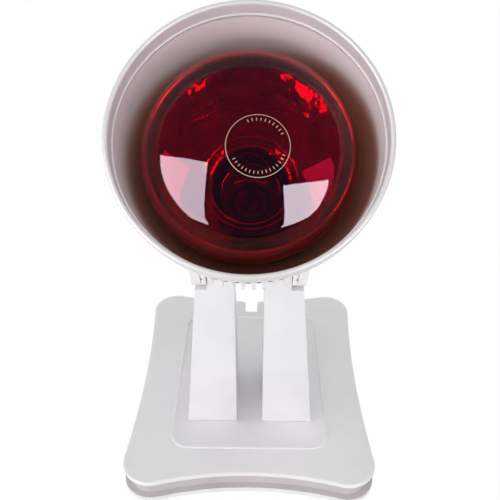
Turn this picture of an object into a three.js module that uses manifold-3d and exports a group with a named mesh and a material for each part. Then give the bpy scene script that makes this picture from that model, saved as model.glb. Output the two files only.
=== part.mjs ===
// An infrared heat lamp for the table, in millimetres with +Z up.
// A weighted base carries two pillars, and a round shade with a large red reflector bulb
// tilts between 0 and 60 degrees on two click hinges at the top of the pillars.
import * as THREE from 'three';
import { mergeVertices } from 'three/addons/utils/BufferGeometryUtils.js';
import Module from 'manifold-3d';

const wasm = await Module();
wasm.setup();

// Fits shared by the whole lamp
const fitGap = 0.3;
const runningGap = 0.4;
const cutOverrun = 2;

// How finely round things are divided
const outlineSteps = 4;
const wideSides = 40;
const mediumSides = 24;
const smallSides = 12;
const screwSides = 8;
const profileSteps = 7;

// Base
const baseWidth = 180;
const baseDepth = 205.6;
const baseCornerRadius = 20;
const sideSag = 3.9;
const frontSag = 9;
const rearSag = 7.9;
const footProud = 1.5;
const flangeHeight = 4.2;
const grooveHeight = 10.4;
const lipHeight = 5.7;
const grooveInset = 4.5;
const coverWall = 2.4;
const trayWall = 2.2;
const trayFloor = 2.6;

// Raised line and sunk panel on the base
const panelWidth = 116;
const panelFront = -72;
const panelRear = 72.4;
const panelCornerRadius = 13;
const ridgeWidth = 2;
const ridgeHeight = 0.8;
const panelSink = 0.5;

// Cord outlet at the rear of the base
const notchWidth = 11;
const notchInnerEnd = 79.4;
const notchCornerRadius = 2.5;
const outletBlockWidth = 20;
const outletBlockDepth = 8;
const outletBlockBottom = 6.3;
const outletDrop = 7.7;
const outletFlareRadius = 6.6;
const bushRadius = 4.6;
const bushBore = 3.4;
const bushNoseRadius = 5.8;
const bushNoseLength = 1.1;
const bushTailLength = 1.5;

// Feet, base screws, ballast and terminals
const footRadius = 9;
const footSeat = 1.2;
const baseScrewFromFootX = 6;
const baseScrewFromFootY = 22.8;
const bossRadius = 4.2;
const trayBossHeight = 4.5;
const screwRadius = 1.5;
const screwHeadRadius = 3;
const screwHeadHeight = 1.9;
const screwSlotWidth = 0.9;
const screwSlotDepth = 0.8;
const baseScrewLength = 12;
const ballastWidth = 110;
const ballastDepth = 96;
const ballastThickness = 5;
const ballastRimWall = 1.6;
const ballastRimHeight = 3.5;
const terminalWidth = 24;
const terminalDepth = 13;
const terminalHeight = 8;
const terminalY = 59;
const terminalWellRadius = 2.2;
const terminalWellDepth = 4;
const terminalPitch = 7;
const terminalCount = 3;

// Pillars
const pillarInnerX = 9.7;
const pillarFootOuterX = 46.6;
const pillarTopOuterX = 34.6;
const pillarTaperHeight = 134.5;
const pillarFrontY = -47.4;
const pillarFootBackY = 5;
const pillarHeadRadius = 8.2;
const pillarWall = 2.2;
const pillarBackWall = 2.2;
const pocketInnerX = 27.1;
const pocketDrop = 12.7;
const backCoverDrop = 26;
const pillarBossHeight = 22;
const frontBossX = 30;
const rearBossY = -12;
const pillarBossSink = 3;
const pillarScrewLength = 14;

// Hinge
const pivotAboveBase = 139.7;
const pinRadius = 2.5;
const pinHeadRadius = 4.6;
const pinHeadThickness = 1.2;
const pinTailRadius = 4;
const pinTailThickness = 2.2;
const washerThickness = 0.5;
const washerRadius = 4.6;
const discThickness = 3.5;
const discRadius = 5.4;
const discToothDepth = 0.6;
const discTeeth = 24;
const springLength = 22;
const springThickness = 0.6;
const springWidth = 3;
const springReach = 0.4;
const capThickness = 1.2;
const capRadius = 5.6;
const earBoreRadius = 6;
const earBoreDepth = 3.2;
const tilt = THREE.MathUtils.degToRad(45);

// Switch on the back of the right pillar
const switchX = 25.5;
const switchUpSlope = 62;
const switchBezelWidth = 15;
const switchBezelLength = 21;
const switchBezelHeight = 1.6;
const switchBezelRadius = 1.5;
const switchBodyWidth = 12.8;
const switchBodyLength = 18.6;
const switchBodyDepth = 12;
const switchWallWidth = 1.4;
const rockerPivotDepth = 1.6;
const rockerThickness = 4.6;
const rockerRise = 2.6;
const rockerAngle = THREE.MathUtils.degToRad(7);
const rockerWellDepth = 8;

// Shade, measured back from the plane of its rim and out from its axis
const rimRadius = 76.8;
const lipThickness = 2.9;
const ringDepth = 12;
const ringLedgeSetback = 9.6;
const ringLedgeThickness = 1.1;
const ringLedgeReach = 0.9;
const ringLipRadius = 1.1;
const shadeDepth = 95;
const shadeWall = 2.4;
const shadeFrontInset = 1.2;
const collarRadius = 38.2;
const collarDepth = 9;
const shadeSetbackShares = [0.37, 0.53, 0.63, 0.74, 0.81, 0.895, 1];
const shadeRadiusShares = [0.97, 0.905, 0.827, 0.736, 0.664, 0.599, 0.534];

// Ears of the shade
const pivotSetback = 86.8;
const pivotBelowAxis = 57.5;
const earLobeRadius = 11.5;
const earOuterX = 36.7;
const earFrontSetback = 50;
const earFrontDrop = 58;
const earKneeSetback = 64.5;
const earKneeDrop = 62.8;
const earRearSetback = 100;
const earRearDrop = 45;
const earRootDrop = 24;

// Air slots between ribs, under the shade
const ribWidth = 2.1;
const ribPitch = 6;
const ribCount = 8;
const ribProud = 3.2;
const ribFrontSetback = 37;
const ribRearSetback = 50;
const ribRootDepth = 3;
const slotFrontSetback = 39;
const slotRearSetback = 46.5;

// Rear housing
const housingWall = 2.4;
const housingFrontRadius = 41;
const housingEndRound = 14;
const housingSideRadius = 33.4;
const housingFlatRadius = 20;
const housingEndSteps = 4;
const housingScrewLength = 6;
const housingScrewHead = 1.1;
const housingScrewCount = 3;
const ventCount = 12;
const ventInnerRadius = 9;
const ventOuterRadius = 23;
const ventWidth = 2.6;

// Lamp holder and its bracket
const holderFromShadeEnd = 63.5;
const holderLength = 32;
const holderRadius = 21.5;
const holderStepDepth = 17.5;
const holderStepRadius = 17;
const shellWall = 0.5;
const holderContactWidth = 5;
const holderContactLength = 12;
const holderContactThickness = 0.6;
const bracketRadius = 28;
const bracketThickness = 1.2;
const bracketWidth = 16;
const bracketHoleRadius = 6;
const bracketScrewX = 22.5;
const bracketScrewLength = 6;
const bracketBossRadius = 3.4;
const bracketBossHeight = 5.3;

// Bulb
const bulbRadius = 63.5;
const bulbFaceFromShadeEnd = 89.5;
const bulbDomeRadius = 130;
const bulbShoulderRadius = 24;
const domeSteps = 3;
const shoulderSteps = 3;
const bulbNeckFromFace = 112.5;
const bulbNeckRadius = 22.3;
const bulbNeckEndFromFace = 144.5;
const bulbNeckEndRadius = 19.5;
const bulbConeSetbackShares = [0.122, 0.258, 0.394, 0.58, 0.753, 0.852];
const bulbConeRadiusShares = [0.973, 0.901, 0.79, 0.608, 0.435, 0.384];
const glassWall = 1;
const mirrorThickness = 0.3;
const mirrorFrontGap = 1;
const capFromFace = 151.5;
const screwCapRadius = 13.2;
const screwCapLength = 23;
const screwCapWall = 0.4;
const glassTailLength = 6;
const capTipRadius = 5;
const capTipLength = 3.2;
const capShoulderRadius = 9.5;
const capShoulderLength = 2.5;
const stemRadius = 4.2;
const stemFromFace = 78.5;
const stemFlare = 9;
const stemTipShare = 0.6;
const stemFlareShare = 0.9;
const leadRootX = 2;
const leadSteps = 4;
const filamentSteps = 14;
const filamentFromFace = 60.5;
const filamentRadius = 12;
const filamentWireRadius = 0.9;
const filamentSweep = THREE.MathUtils.degToRad(250);
const leadRadius = 0.6;

// Internal wires
const wireRadius = 1.6;
const wireSides = 6;

// Worked-out levels of the stand
const trayBottom = footProud;
const flangeTop = trayBottom + flangeHeight;
const lipBottom = flangeTop + grooveHeight;
const baseTop = lipBottom + lipHeight;
const trayFloorTop = trayBottom + trayFloor;
const plateBottom = baseTop - coverWall;
const panelTop = baseTop - panelSink;
const pillarFoot = panelTop + fitGap;
const outletZ = baseTop - outletDrop;
const rearEdge = baseDepth / 2 - rearSag;

// Worked-out places of the hinge
const pivotZ = baseTop + pivotAboveBase;
const pivotY = pillarFrontY + pillarHeadRadius;
const shelfZ = pivotZ - pocketDrop;
const earInnerX = pocketInnerX + runningGap;
const earBoreX = earOuterX - earBoreDepth;
const washerX = pocketInnerX - pillarWall - fitGap - washerThickness;
const discX = washerX - fitGap - discThickness;
const pinTailX = discX - fitGap - pinTailThickness;

// Worked-out places behind the shade, and of the bulb that its holder carries
const housingScrewSetback = shadeDepth + collarDepth / 2;
const holderFrontSetback = shadeDepth + holderFromShadeEnd;
const holderStepSetback = holderFrontSetback + holderStepDepth;
const bulbFaceSetback = shadeDepth - bulbFaceFromShadeEnd;
const bulbNeckSetback = bulbFaceSetback + bulbNeckFromFace;
const bulbNeckEnd = bulbFaceSetback + bulbNeckEndFromFace;
const capFrontSetback = bulbFaceSetback + capFromFace;
const stemFrontSetback = bulbFaceSetback + stemFromFace;
const filamentSetback = bulbFaceSetback + filamentFromFace;
const housingScrewSeat = collarRadius + fitGap + (housingFrontRadius - collarRadius) / 2;
const holderPlateSetback = holderFrontSetback + holderLength + fitGap;
const bulbTipEnd = capFrontSetback + screwCapLength + fitGap + capTipLength;
const cupFloorSetback = bulbTipEnd + 2 * fitGap;
const bracketBossEnd = holderPlateSetback + bracketThickness + fitGap;
const housingEnd = bracketBossEnd + bracketBossHeight + housingWall;
const housingSideSetback = housingEnd - housingEndRound;

// Worked-out places on the bulb: the round shoulder runs on from the dome
const bulbDomeAngle = Math.asin((bulbRadius - bulbShoulderRadius) / (bulbDomeRadius - bulbShoulderRadius));
const bulbDomeMiddle = bulbFaceSetback + bulbDomeRadius;
const bulbWidestSetback = bulbDomeMiddle - (bulbDomeRadius - bulbShoulderRadius) * Math.cos(bulbDomeAngle);

// Finishes
const finishes = {
  whitePlastic: [0xf0f0f2, 0.45, 0],
  greyPlastic: [0xdadadb, 0.5, 0],
  darkRubber: [0x2b2b2d, 0.9, 0],
  blackPlastic: [0x1c1c1e, 0.4, 0],
  zincSteel: [0xb9bbbf, 0.35, 1],
  ballastSteel: [0x77787c, 0.6, 1],
  brass: [0xc7a45a, 0.3, 1],
  porcelain: [0xf3efe6, 0.25, 0],
  redGlass: [0x7a0410, 0.05, 0],
  clearGlass: [0xdfe6e8, 0.05, 0],
  mirror: [0xd9dadd, 0.08, 1],
  tungsten: [0x6d6a66, 0.5, 1],
  paleInsulation: [0xe9e4da, 0.6, 0],
};

// Turns a closed three.js geometry into a solid that can be joined and cut
function solid(geometry) {
  const bare = geometry.clone();
  bare.deleteAttribute('normal');
  bare.deleteAttribute('uv');
  const merged = mergeVertices(bare);
  const corners = merged.index.array;
  const faces = [];
  for (let i = 0; i < corners.length; i += 3) {
    const [a, b, c] = [corners[i], corners[i + 1], corners[i + 2]];
    if (a !== b && b !== c && c !== a) faces.push(a, b, c);
  }
  return new wasm.Manifold(new wasm.Mesh({
    numProp: 3,
    vertProperties: new Float32Array(merged.attributes.position.array),
    triVerts: new Uint32Array(faces),
  }));
}

// Makes the named mesh of one finished solid
function piece(name, body, finish) {
  const mesh = body.getMesh();
  const geometry = new THREE.BufferGeometry();
  geometry.setAttribute('position', new THREE.BufferAttribute(mesh.vertProperties, mesh.numProp));
  geometry.setIndex(new THREE.BufferAttribute(mesh.triVerts, 1));
  geometry.computeVertexNormals();
  const [color, roughness, metalness] = finishes[finish];
  const result = new THREE.Mesh(geometry, new THREE.MeshStandardMaterial({ color, roughness, metalness }));
  result.name = name;
  return result;
}

function block(x0, x1, y0, y1, z0, z1) {
  const geometry = new THREE.BoxGeometry(x1 - x0, y1 - y0, z1 - z0);
  return solid(geometry.translate((x0 + x1) / 2, (y0 + y1) / 2, (z0 + z1) / 2));
}

function rodZ(radius, x, y, z0, z1, sides = smallSides) {
  const geometry = new THREE.CylinderGeometry(radius, radius, z1 - z0, sides);
  return solid(geometry.rotateX(Math.PI / 2).translate(x, y, (z0 + z1) / 2));
}

function rodX(radius, x0, x1, y, z, sides = smallSides) {
  const geometry = new THREE.CylinderGeometry(radius, radius, x1 - x0, sides);
  return solid(geometry.rotateZ(Math.PI / 2).translate((x0 + x1) / 2, y, z));
}

// A cone or rod along Y, with one radius at each end
function coneY(radius0, radius1, x, y0, y1, z, sides = smallSides) {
  const geometry = new THREE.CylinderGeometry(radius1, radius0, y1 - y0, sides);
  return solid(geometry.translate(x, (y0 + y1) / 2, z));
}

// A flat outline given thickness along Z
function prismZ(shape, z0, z1) {
  const settings = { depth: z1 - z0, bevelEnabled: false, curveSegments: outlineSteps };
  return solid(new THREE.ExtrudeGeometry(shape, settings).translate(0, 0, z0));
}

// A side outline in Y and Z given thickness along X
function prismX(shape, x0, x1, curveSegments = outlineSteps) {
  const geometry = new THREE.ExtrudeGeometry(shape, { depth: x1 - x0, bevelEnabled: false, curveSegments });
  const turn = new THREE.Matrix4().makeBasis(
    new THREE.Vector3(0, 1, 0),
    new THREE.Vector3(0, 0, 1),
    new THREE.Vector3(1, 0, 0),
  );
  return solid(geometry.applyMatrix4(turn).translate(x0, 0, 0));
}

// A profile of radius and setback turned about the axis of the shade, which is Z.
// It runs from the front over the outside to the back, and home along the inside if it is hollow.
function turned(profile, sides) {
  const points = profile.map(([radius, setback]) => new THREE.Vector2(radius, -setback)).reverse();
  return solid(new THREE.LatheGeometry(points, sides).rotateX(Math.PI / 2));
}

// The inside of a wall of even thickness, for profile points that run from front to back
function insideOf(outside, thickness) {
  return outside.map(([radius, setback], i) => {
    const before = outside[Math.max(i - 1, 0)];
    const after = outside[Math.min(i + 1, outside.length - 1)];
    const along = new THREE.Vector2(after[0] - before[0], after[1] - before[1]).normalize();
    return [radius - along.y * thickness, setback + along.x * thickness];
  });
}

function mirrored(body) {
  return body.mirror([1, 0, 0]);
}

// A screw along Z with its slotted head at headZ and its shank pointing along direction
function screw(x, y, headZ, length, direction) {
  const span = (near, far) => {
    const ends = [headZ + direction * near, headZ + direction * far];
    return [Math.min(...ends), Math.max(...ends)];
  };
  const head = rodZ(screwHeadRadius, x, y, ...span(0, screwHeadHeight), screwSides);
  const shank = rodZ(screwRadius, x, y, ...span(screwHeadHeight / 2, screwHeadHeight + length), screwSides);
  const half = screwSlotWidth / 2;
  const slotSpan = span(-cutOverrun, screwSlotDepth);
  const reach = screwHeadRadius + cutOverrun;
  const slot = block(x - reach, x + reach, y - half, y + half, ...slotSpan);
  return head.add(shank).subtract(slot);
}

// Base outline: a rectangle with round corners whose four sides bow inwards
function drawnInOutline(inset) {
  const x = baseWidth / 2 - baseCornerRadius;
  const y = baseDepth / 2 - baseCornerRadius;
  const reach = (half, sag) => (half * half + sag * sag) / (2 * sag);
  const side = (half, sag, away, outX, outY) => ({
    reach: reach(half, sag),
    centre: new THREE.Vector2(outX, outY).multiplyScalar(away - sag + reach(half, sag)),
  });
  const sides = [
    side(x, frontSag, y, 0, -1),
    side(y, sideSag, x, 1, 0),
    side(x, rearSag, y, 0, 1),
    side(y, sideSag, x, -1, 0),
  ];
  const corners = [[-1, -1], [1, -1], [1, 1], [-1, 1]].map(([a, b]) => new THREE.Vector2(a * x, b * y));
  const bearing = (from, to) => Math.atan2(to.y - from.y, to.x - from.x);
  const shape = new THREE.Shape();
  corners.forEach((corner, i) => {
    const before = sides[(i + 3) % 4];
    const after = sides[i];
    const next = corners[(i + 1) % 4];
    const cornerRadius = baseCornerRadius - inset;
    const sideRadius = after.reach - cornerRadius;
    const [turnIn, turnOut] = [bearing(corner, before.centre), bearing(corner, after.centre)];
    shape.absarc(corner.x, corner.y, cornerRadius, turnIn, turnOut, false);
    const [bowIn, bowOut] = [bearing(after.centre, corner), bearing(after.centre, next)];
    shape.absarc(after.centre.x, after.centre.y, sideRadius, bowIn, bowOut, true);
  });
  return shape;
}

// Rounded rectangle of the panel line, moved in or out by an offset
function panelOutline(offset) {
  const [x0, x1] = [-panelWidth / 2 - offset, panelWidth / 2 + offset];
  const [y0, y1] = [panelFront - offset, panelRear + offset];
  return roundedRectangle(x0, x1, y0, y1, panelCornerRadius + offset);
}

function roundedRectangle(x0, x1, y0, y1, radius) {
  const shape = new THREE.Shape();
  shape.absarc(x0 + radius, y0 + radius, radius, Math.PI, 1.5 * Math.PI, false);
  shape.absarc(x1 - radius, y0 + radius, radius, 1.5 * Math.PI, 2 * Math.PI, false);
  shape.absarc(x1 - radius, y1 - radius, radius, 0, 0.5 * Math.PI, false);
  shape.absarc(x0 + radius, y1 - radius, radius, 0.5 * Math.PI, Math.PI, false);
  return shape;
}

// The cord notch with its two outer corners rounded
function notchOutline() {
  const half = notchWidth / 2;
  const corner = notchCornerRadius;
  const end = rearEdge + cutOverrun;
  const shape = new THREE.Shape();
  shape.moveTo(-half, notchInnerEnd);
  shape.lineTo(half, notchInnerEnd);
  shape.absarc(half + corner, rearEdge - corner, corner, Math.PI, Math.PI / 2, true);
  shape.lineTo(half + corner, end);
  shape.lineTo(-half - corner, end);
  shape.absarc(-half - corner, rearEdge - corner, corner, Math.PI / 2, 0, true);
  return shape;
}

// Where each foot, base screw and pillar screw stands
const fourWays = [[-1, -1], [1, -1], [-1, 1], [1, 1]];
const footPlaces = fourWays.map(([a, b]) => [
  a * (baseWidth / 2 - baseCornerRadius),
  b * (baseDepth / 2 - baseCornerRadius),
]);
const baseScrewPlaces = footPlaces.map(([x, y], i) => [
  x - fourWays[i][0] * baseScrewFromFootX,
  y - fourWays[i][1] * baseScrewFromFootY,
]);
const frontBossY = pillarFrontY + pillarBossSink;
const rearBossX = pillarInnerX + pillarBossSink;
const pillarScrewPlaces = [
  [-frontBossX, frontBossY],
  [frontBossX, frontBossY],
  [-rearBossX, rearBossY],
  [rearBossX, rearBossY],
];

function makeBaseCover() {
  const outer = prismZ(drawnInOutline(0), lipBottom, baseTop);
  const hollow = prismZ(drawnInOutline(coverWall), lipBottom - cutOverrun, plateBottom);
  const ridge = prismZ(panelOutline(ridgeWidth / 2), plateBottom, baseTop + ridgeHeight);
  const sunk = prismZ(panelOutline(-ridgeWidth / 2), panelTop, baseTop + ridgeHeight + cutOverrun);
  let cover = outer.subtract(hollow).add(ridge).subtract(sunk);
  for (const [x, y] of baseScrewPlaces) {
    const bossBottom = trayBottom + trayBossHeight + fitGap;
    cover = cover.add(rodZ(bossRadius, x, y, bossBottom, plateBottom + fitGap));
    const boreTop = bossBottom + baseScrewLength;
    cover = cover.subtract(rodZ(screwRadius + fitGap, x, y, bossBottom - cutOverrun, boreTop, screwSides));
  }
  const half = notchWidth / 2;
  const blockHalf = outletBlockWidth / 2;
  const blockFront = notchInnerEnd - outletBlockDepth;
  const under = plateBottom + fitGap;
  const sleeve = block(-half - coverWall, half + coverWall, blockFront, baseDepth / 2, lipBottom, under);
  cover = cover.add(sleeve.intersect(prismZ(drawnInOutline(0), lipBottom, baseTop)));
  cover = cover.add(block(-blockHalf, blockHalf, blockFront, notchInnerEnd, outletBlockBottom, under));
  cover = cover.subtract(prismZ(notchOutline(), outletBlockBottom - cutOverrun, baseTop + cutOverrun));
  const flareStart = notchInnerEnd - outletFlareRadius + bushRadius;
  const flareEnd = notchInnerEnd + cutOverrun;
  const flareReach = outletFlareRadius + cutOverrun + fitGap;
  cover = cover.subtract(coneY(bushRadius + fitGap, flareReach, 0, flareStart, flareEnd, outletZ));
  cover = cover.subtract(
    coneY(bushRadius + fitGap, bushRadius + fitGap, 0, blockFront - cutOverrun, flareEnd, outletZ),
  );
  for (const [x, y] of pillarScrewPlaces) {
    const hole = rodZ(screwRadius + fitGap, x, y, lipBottom, baseTop + cutOverrun, screwSides);
    cover = cover.subtract(hole);
  }
  const passageRadius = wireRadius + runningGap;
  return cover.subtract(
    rodZ(passageRadius, switchX, pillarFrontY / 2, lipBottom, baseTop + cutOverrun, screwSides),
  );
}

function makeBaseBottom() {
  const wallTop = plateBottom - fitGap;
  const flange = prismZ(drawnInOutline(0), trayBottom, flangeTop);
  const wall = prismZ(drawnInOutline(grooveInset), flangeTop - fitGap, wallTop);
  const inside = prismZ(drawnInOutline(grooveInset + trayWall), trayFloorTop, wallTop + cutOverrun);
  const blockHalf = outletBlockWidth / 2 + fitGap;
  const blockFront = notchInnerEnd - outletBlockDepth - fitGap;
  const reach = baseDepth / 2;
  const pocketWall = block(
    -blockHalf - trayWall, blockHalf + trayWall, blockFront - trayWall, reach, trayBottom, wallTop,
  );
  let tray = flange.add(wall).subtract(inside);
  tray = tray.add(pocketWall.intersect(prismZ(drawnInOutline(grooveInset), trayBottom, wallTop)));
  tray = tray.subtract(block(-blockHalf, blockHalf, blockFront, reach, flangeTop, wallTop + cutOverrun));
  tray = tray.subtract(prismZ(notchOutline(), trayBottom - cutOverrun, wallTop + cutOverrun));
  const wireHalf = bushRadius + fitGap;
  const [wireFront, wireRear] = [blockFront - trayWall - cutOverrun, blockFront + cutOverrun];
  tray = tray.subtract(block(-wireHalf, wireHalf, wireFront, wireRear, flangeTop, wallTop + cutOverrun));
  const [rimX, rimY] = [ballastWidth / 2 + fitGap, ballastDepth / 2 + fitGap];
  const rimTop = trayFloorTop + ballastRimHeight;
  const rimBottom = trayFloorTop - fitGap;
  const [rimOuterX, rimOuterY] = [rimX + ballastRimWall, rimY + ballastRimWall];
  const rim = block(-rimOuterX, rimOuterX, -rimOuterY, rimOuterY, rimBottom, rimTop);
  tray = tray.add(rim.subtract(block(-rimX, rimX, -rimY, rimY, rimBottom - cutOverrun, rimTop + cutOverrun)));
  for (const [x, y] of baseScrewPlaces) {
    tray = tray.add(rodZ(bossRadius, x, y, trayBottom, trayBottom + trayBossHeight));
    const sinkTop = trayBottom + screwHeadHeight + fitGap;
    tray = tray.subtract(rodZ(screwHeadRadius + fitGap, x, y, trayBottom - cutOverrun, sinkTop, screwSides));
    const through = trayBottom + trayBossHeight + cutOverrun;
    tray = tray.subtract(rodZ(screwRadius + fitGap, x, y, trayBottom - cutOverrun, through, screwSides));
  }
  for (const [x, y] of footPlaces) {
    tray = tray.subtract(rodZ(footRadius + fitGap, x, y, trayBottom - cutOverrun, trayBottom + footSeat));
  }
  return tray;
}

function makeCordBush() {
  const flareDepth = outletFlareRadius - bushRadius;
  const noseBack = notchInnerEnd - flareDepth + fitGap;
  const tailEnd = notchInnerEnd - outletBlockDepth - bushTailLength + fitGap;
  const nose = coneY(bushRadius, bushNoseRadius, 0, noseBack, noseBack + bushNoseLength, outletZ);
  const tail = coneY(bushRadius, bushRadius, 0, tailEnd, noseBack + fitGap, outletZ);
  const bore = coneY(bushBore, bushBore, 0, tailEnd - cutOverrun, notchInnerEnd + cutOverrun, outletZ);
  return nose.add(tail).subtract(bore);
}

function makeTerminalBlock() {
  const bottom = trayFloorTop + fitGap;
  const top = bottom + terminalHeight;
  const halfWidth = terminalWidth / 2;
  const [front, rear] = [terminalY - terminalDepth / 2, terminalY + terminalDepth / 2];
  let result = block(-halfWidth, halfWidth, front, rear, bottom, top);
  for (let i = 0; i < terminalCount; i += 1) {
    const x = (i - (terminalCount - 1) / 2) * terminalPitch;
    const wellBottom = top - terminalWellDepth;
    const well = rodZ(terminalWellRadius, x, terminalY, wellBottom, top + cutOverrun, screwSides);
    result = result.subtract(well);
  }
  return result;
}

function addBase(stand) {
  stand.add(piece('base_cover', makeBaseCover(), 'greyPlastic'));
  stand.add(piece('base_bottom', makeBaseBottom(), 'whitePlastic'));
  stand.add(piece('cord_bush', makeCordBush(), 'darkRubber'));
  stand.add(piece('terminal_block', makeTerminalBlock(), 'paleInsulation'));
  const ballastBottom = trayFloorTop + fitGap;
  const [halfX, halfY] = [ballastWidth / 2, ballastDepth / 2];
  const ballast = block(-halfX, halfX, -halfY, halfY, ballastBottom, ballastBottom + ballastThickness);
  stand.add(piece('ballast_plate', ballast, 'ballastSteel'));
  const footNames = ['foot_front_left', 'foot_front_right', 'foot_rear_left', 'foot_rear_right'];
  footPlaces.forEach(([x, y], i) => {
    const foot = rodZ(footRadius, x, y, 0, trayBottom + footSeat - fitGap, smallSides);
    stand.add(piece(footNames[i], foot, 'darkRubber'));
  });
  baseScrewPlaces.forEach(([x, y], i) => {
    const body = screw(x, y, trayBottom, baseScrewLength - fitGap, 1);
    stand.add(piece(`base_screw_${i + 1}`, body, 'zincSteel'));
  });
  pillarScrewPlaces.forEach(([x, y], i) => {
    const headZ = plateBottom - fitGap - screwHeadHeight;
    stand.add(piece(`pillar_screw_${i + 1}`, screw(x, y, headZ, pillarScrewLength, 1), 'zincSteel'));
  });
}

// Angle at which a straight line from a point touches a circle, on its left or right side
function touchAngle(centre, radius, point, side) {
  const offset = new THREE.Vector2().subVectors(point, centre);
  return offset.angle() + side * Math.acos(radius / offset.length());
}

// The leaning back of the pillars touches their round heads at this angle
const pivotPoint = new THREE.Vector2(pivotY, pivotZ);
const backFootPoint = new THREE.Vector2(pillarFootBackY, pillarFoot);
const backLean = touchAngle(pivotPoint, pillarHeadRadius, backFootPoint, 1) - 2 * Math.PI;

// How far back the leaning face is at a height, moved inwards by an inset
function backAt(inset, z) {
  const radius = pillarHeadRadius - inset;
  const drop = pivotZ + radius * Math.sin(backLean) - z;
  return pivotY + radius * Math.cos(backLean) + drop * Math.tan(backLean);
}

// Side outline of a pillar: upright front, round head about the pivot, leaning back
function pillarOutline(inset, footZ) {
  const radius = pillarHeadRadius - inset;
  const shape = new THREE.Shape();
  shape.moveTo(pivotY - radius, footZ);
  shape.lineTo(backAt(inset, footZ), footZ);
  shape.absarc(pivotY, pivotZ, radius, backLean, Math.PI, false);
  return shape;
}

// The region between two insets of the leaning back, from below the foot up to topZ
function backStripOutline(nearInset, farInset, topZ) {
  const footZ = panelTop - cutOverrun;
  const shape = new THREE.Shape();
  shape.moveTo(backAt(nearInset, footZ), footZ);
  shape.lineTo(backAt(nearInset, topZ), topZ);
  shape.lineTo(backAt(farInset, topZ), topZ);
  shape.lineTo(backAt(farInset, footZ), footZ);
  return shape;
}

// Removes what lies outside the slanting outer side of a pillar, moved in by an inset
function trimOuterSide(body, inset) {
  const topZ = pivotZ + pillarHeadRadius + cutOverrun;
  const footZ = panelTop - cutOverrun;
  const slope = (pillarFootOuterX - pillarTopOuterX) / pillarTaperHeight;
  const outerAt = (z) => pillarFootOuterX - inset - slope * (z - baseTop);
  const away = pillarFootOuterX + cutOverrun;
  const wedge = new THREE.Shape([
    new THREE.Vector2(outerAt(footZ), footZ),
    new THREE.Vector2(away, footZ),
    new THREE.Vector2(away, topZ),
    new THREE.Vector2(outerAt(topZ), topZ),
  ]);
  const [frontY, rearY] = [pillarFrontY - cutOverrun, pillarFootBackY + cutOverrun];
  const geometry = new THREE.ExtrudeGeometry(wedge, { depth: rearY - frontY, bevelEnabled: false });
  return body.subtract(solid(geometry.rotateX(Math.PI / 2).translate(0, rearY, 0)));
}

// Everything above the shelf and outside the pocket wall is left free for the ear
function pocket(inset) {
  const [x0, x1] = [pocketInnerX - inset, pillarFootOuterX + cutOverrun];
  const [y0, y1] = [pillarFrontY - cutOverrun, pillarFootBackY + cutOverrun];
  return block(x0, x1, y0, y1, shelfZ - inset, pivotZ + pillarHeadRadius + cutOverrun);
}

function pillarBody(inset, footZ) {
  const body = prismX(pillarOutline(inset, footZ), pillarInnerX + inset, pillarFootOuterX);
  return trimOuterSide(body, inset).subtract(pocket(inset));
}

// One moulding with the front and both sides, open at the back for the cover
function makeRightPillar() {
  const outer = pillarBody(0, pillarFoot);
  const cavity = pillarBody(pillarWall, pillarFoot - cutOverrun);
  const stripTop = shelfZ - backCoverDrop + fitGap;
  const opening = prismX(
    backStripOutline(-cutOverrun, pillarBackWall + fitGap, stripTop), pillarInnerX - cutOverrun,
    pillarFootOuterX + cutOverrun,
  );
  let pillar = outer.subtract(cavity).subtract(opening);
  for (const [x, y] of [[frontBossX, frontBossY], [rearBossX, rearBossY]]) {
    pillar = pillar.add(rodZ(bossRadius, x, y, pillarFoot, pillarFoot + pillarBossHeight));
  }
  pillar = pillar.intersect(outer);
  for (const [x, y] of [[frontBossX, frontBossY], [rearBossX, rearBossY]]) {
    const boreTop = pillarFoot + pillarBossHeight - pillarWall;
    pillar = pillar.subtract(rodZ(screwRadius + fitGap, x, y, pillarFoot - cutOverrun, boreTop, screwSides));
  }
  const holeStart = pocketInnerX - pillarWall - cutOverrun;
  const pinHole = rodX(pinRadius + fitGap, holeStart, pocketInnerX + cutOverrun, pivotY, pivotZ);
  return pillar.subtract(pinHole);
}

// The switch frame: X across, Y down the lean and Z out of the back face
const switchPlace = new THREE.Matrix4();
const switchZ = panelTop + switchUpSlope;
switchPlace.makeRotationX(backLean - Math.PI / 2);
switchPlace.setPosition(switchX, backAt(0, switchZ), switchZ);

function inSwitchFrame(body) {
  return body.transform(switchPlace.elements.slice());
}

function makeRightBack() {
  const topZ = shelfZ - backCoverDrop;
  const strip = prismX(backStripOutline(0, pillarBackWall, topZ), pillarInnerX, pillarFootOuterX);
  const [footInner, footOuter] = [pillarInnerX - cutOverrun, pillarFootOuterX + cutOverrun];
  const foot = block(footInner, footOuter, pillarFrontY, baseDepth, 0, pillarFoot);
  return trimOuterSide(strip, 0).subtract(foot);
}

function switchCut() {
  const [halfX, halfY] = [switchBodyWidth / 2 + fitGap, switchBodyLength / 2 + fitGap];
  return inSwitchFrame(block(-halfX, halfX, -halfY, halfY, -pillarBackWall - cutOverrun, cutOverrun));
}

function makeSwitchBody() {
  const [bezelX, bezelY] = [switchBezelWidth / 2, switchBezelLength / 2];
  const [bodyX, bodyY] = [switchBodyWidth / 2, switchBodyLength / 2];
  const [wellX, wellY] = [bodyX - switchWallWidth, bodyY - switchWallWidth];
  const bezelOutline = roundedRectangle(-bezelX, bezelX, -bezelY, bezelY, switchBezelRadius);
  const bezel = prismZ(bezelOutline, fitGap, fitGap + switchBezelHeight);
  const body = block(-bodyX, bodyX, -bodyY, bodyY, -switchBodyDepth, fitGap + switchBezelHeight / 2);
  const well = block(-wellX, wellX, -wellY, wellY, -rockerWellDepth, switchBezelHeight + cutOverrun);
  return inSwitchFrame(bezel.add(body).subtract(well));
}

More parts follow.
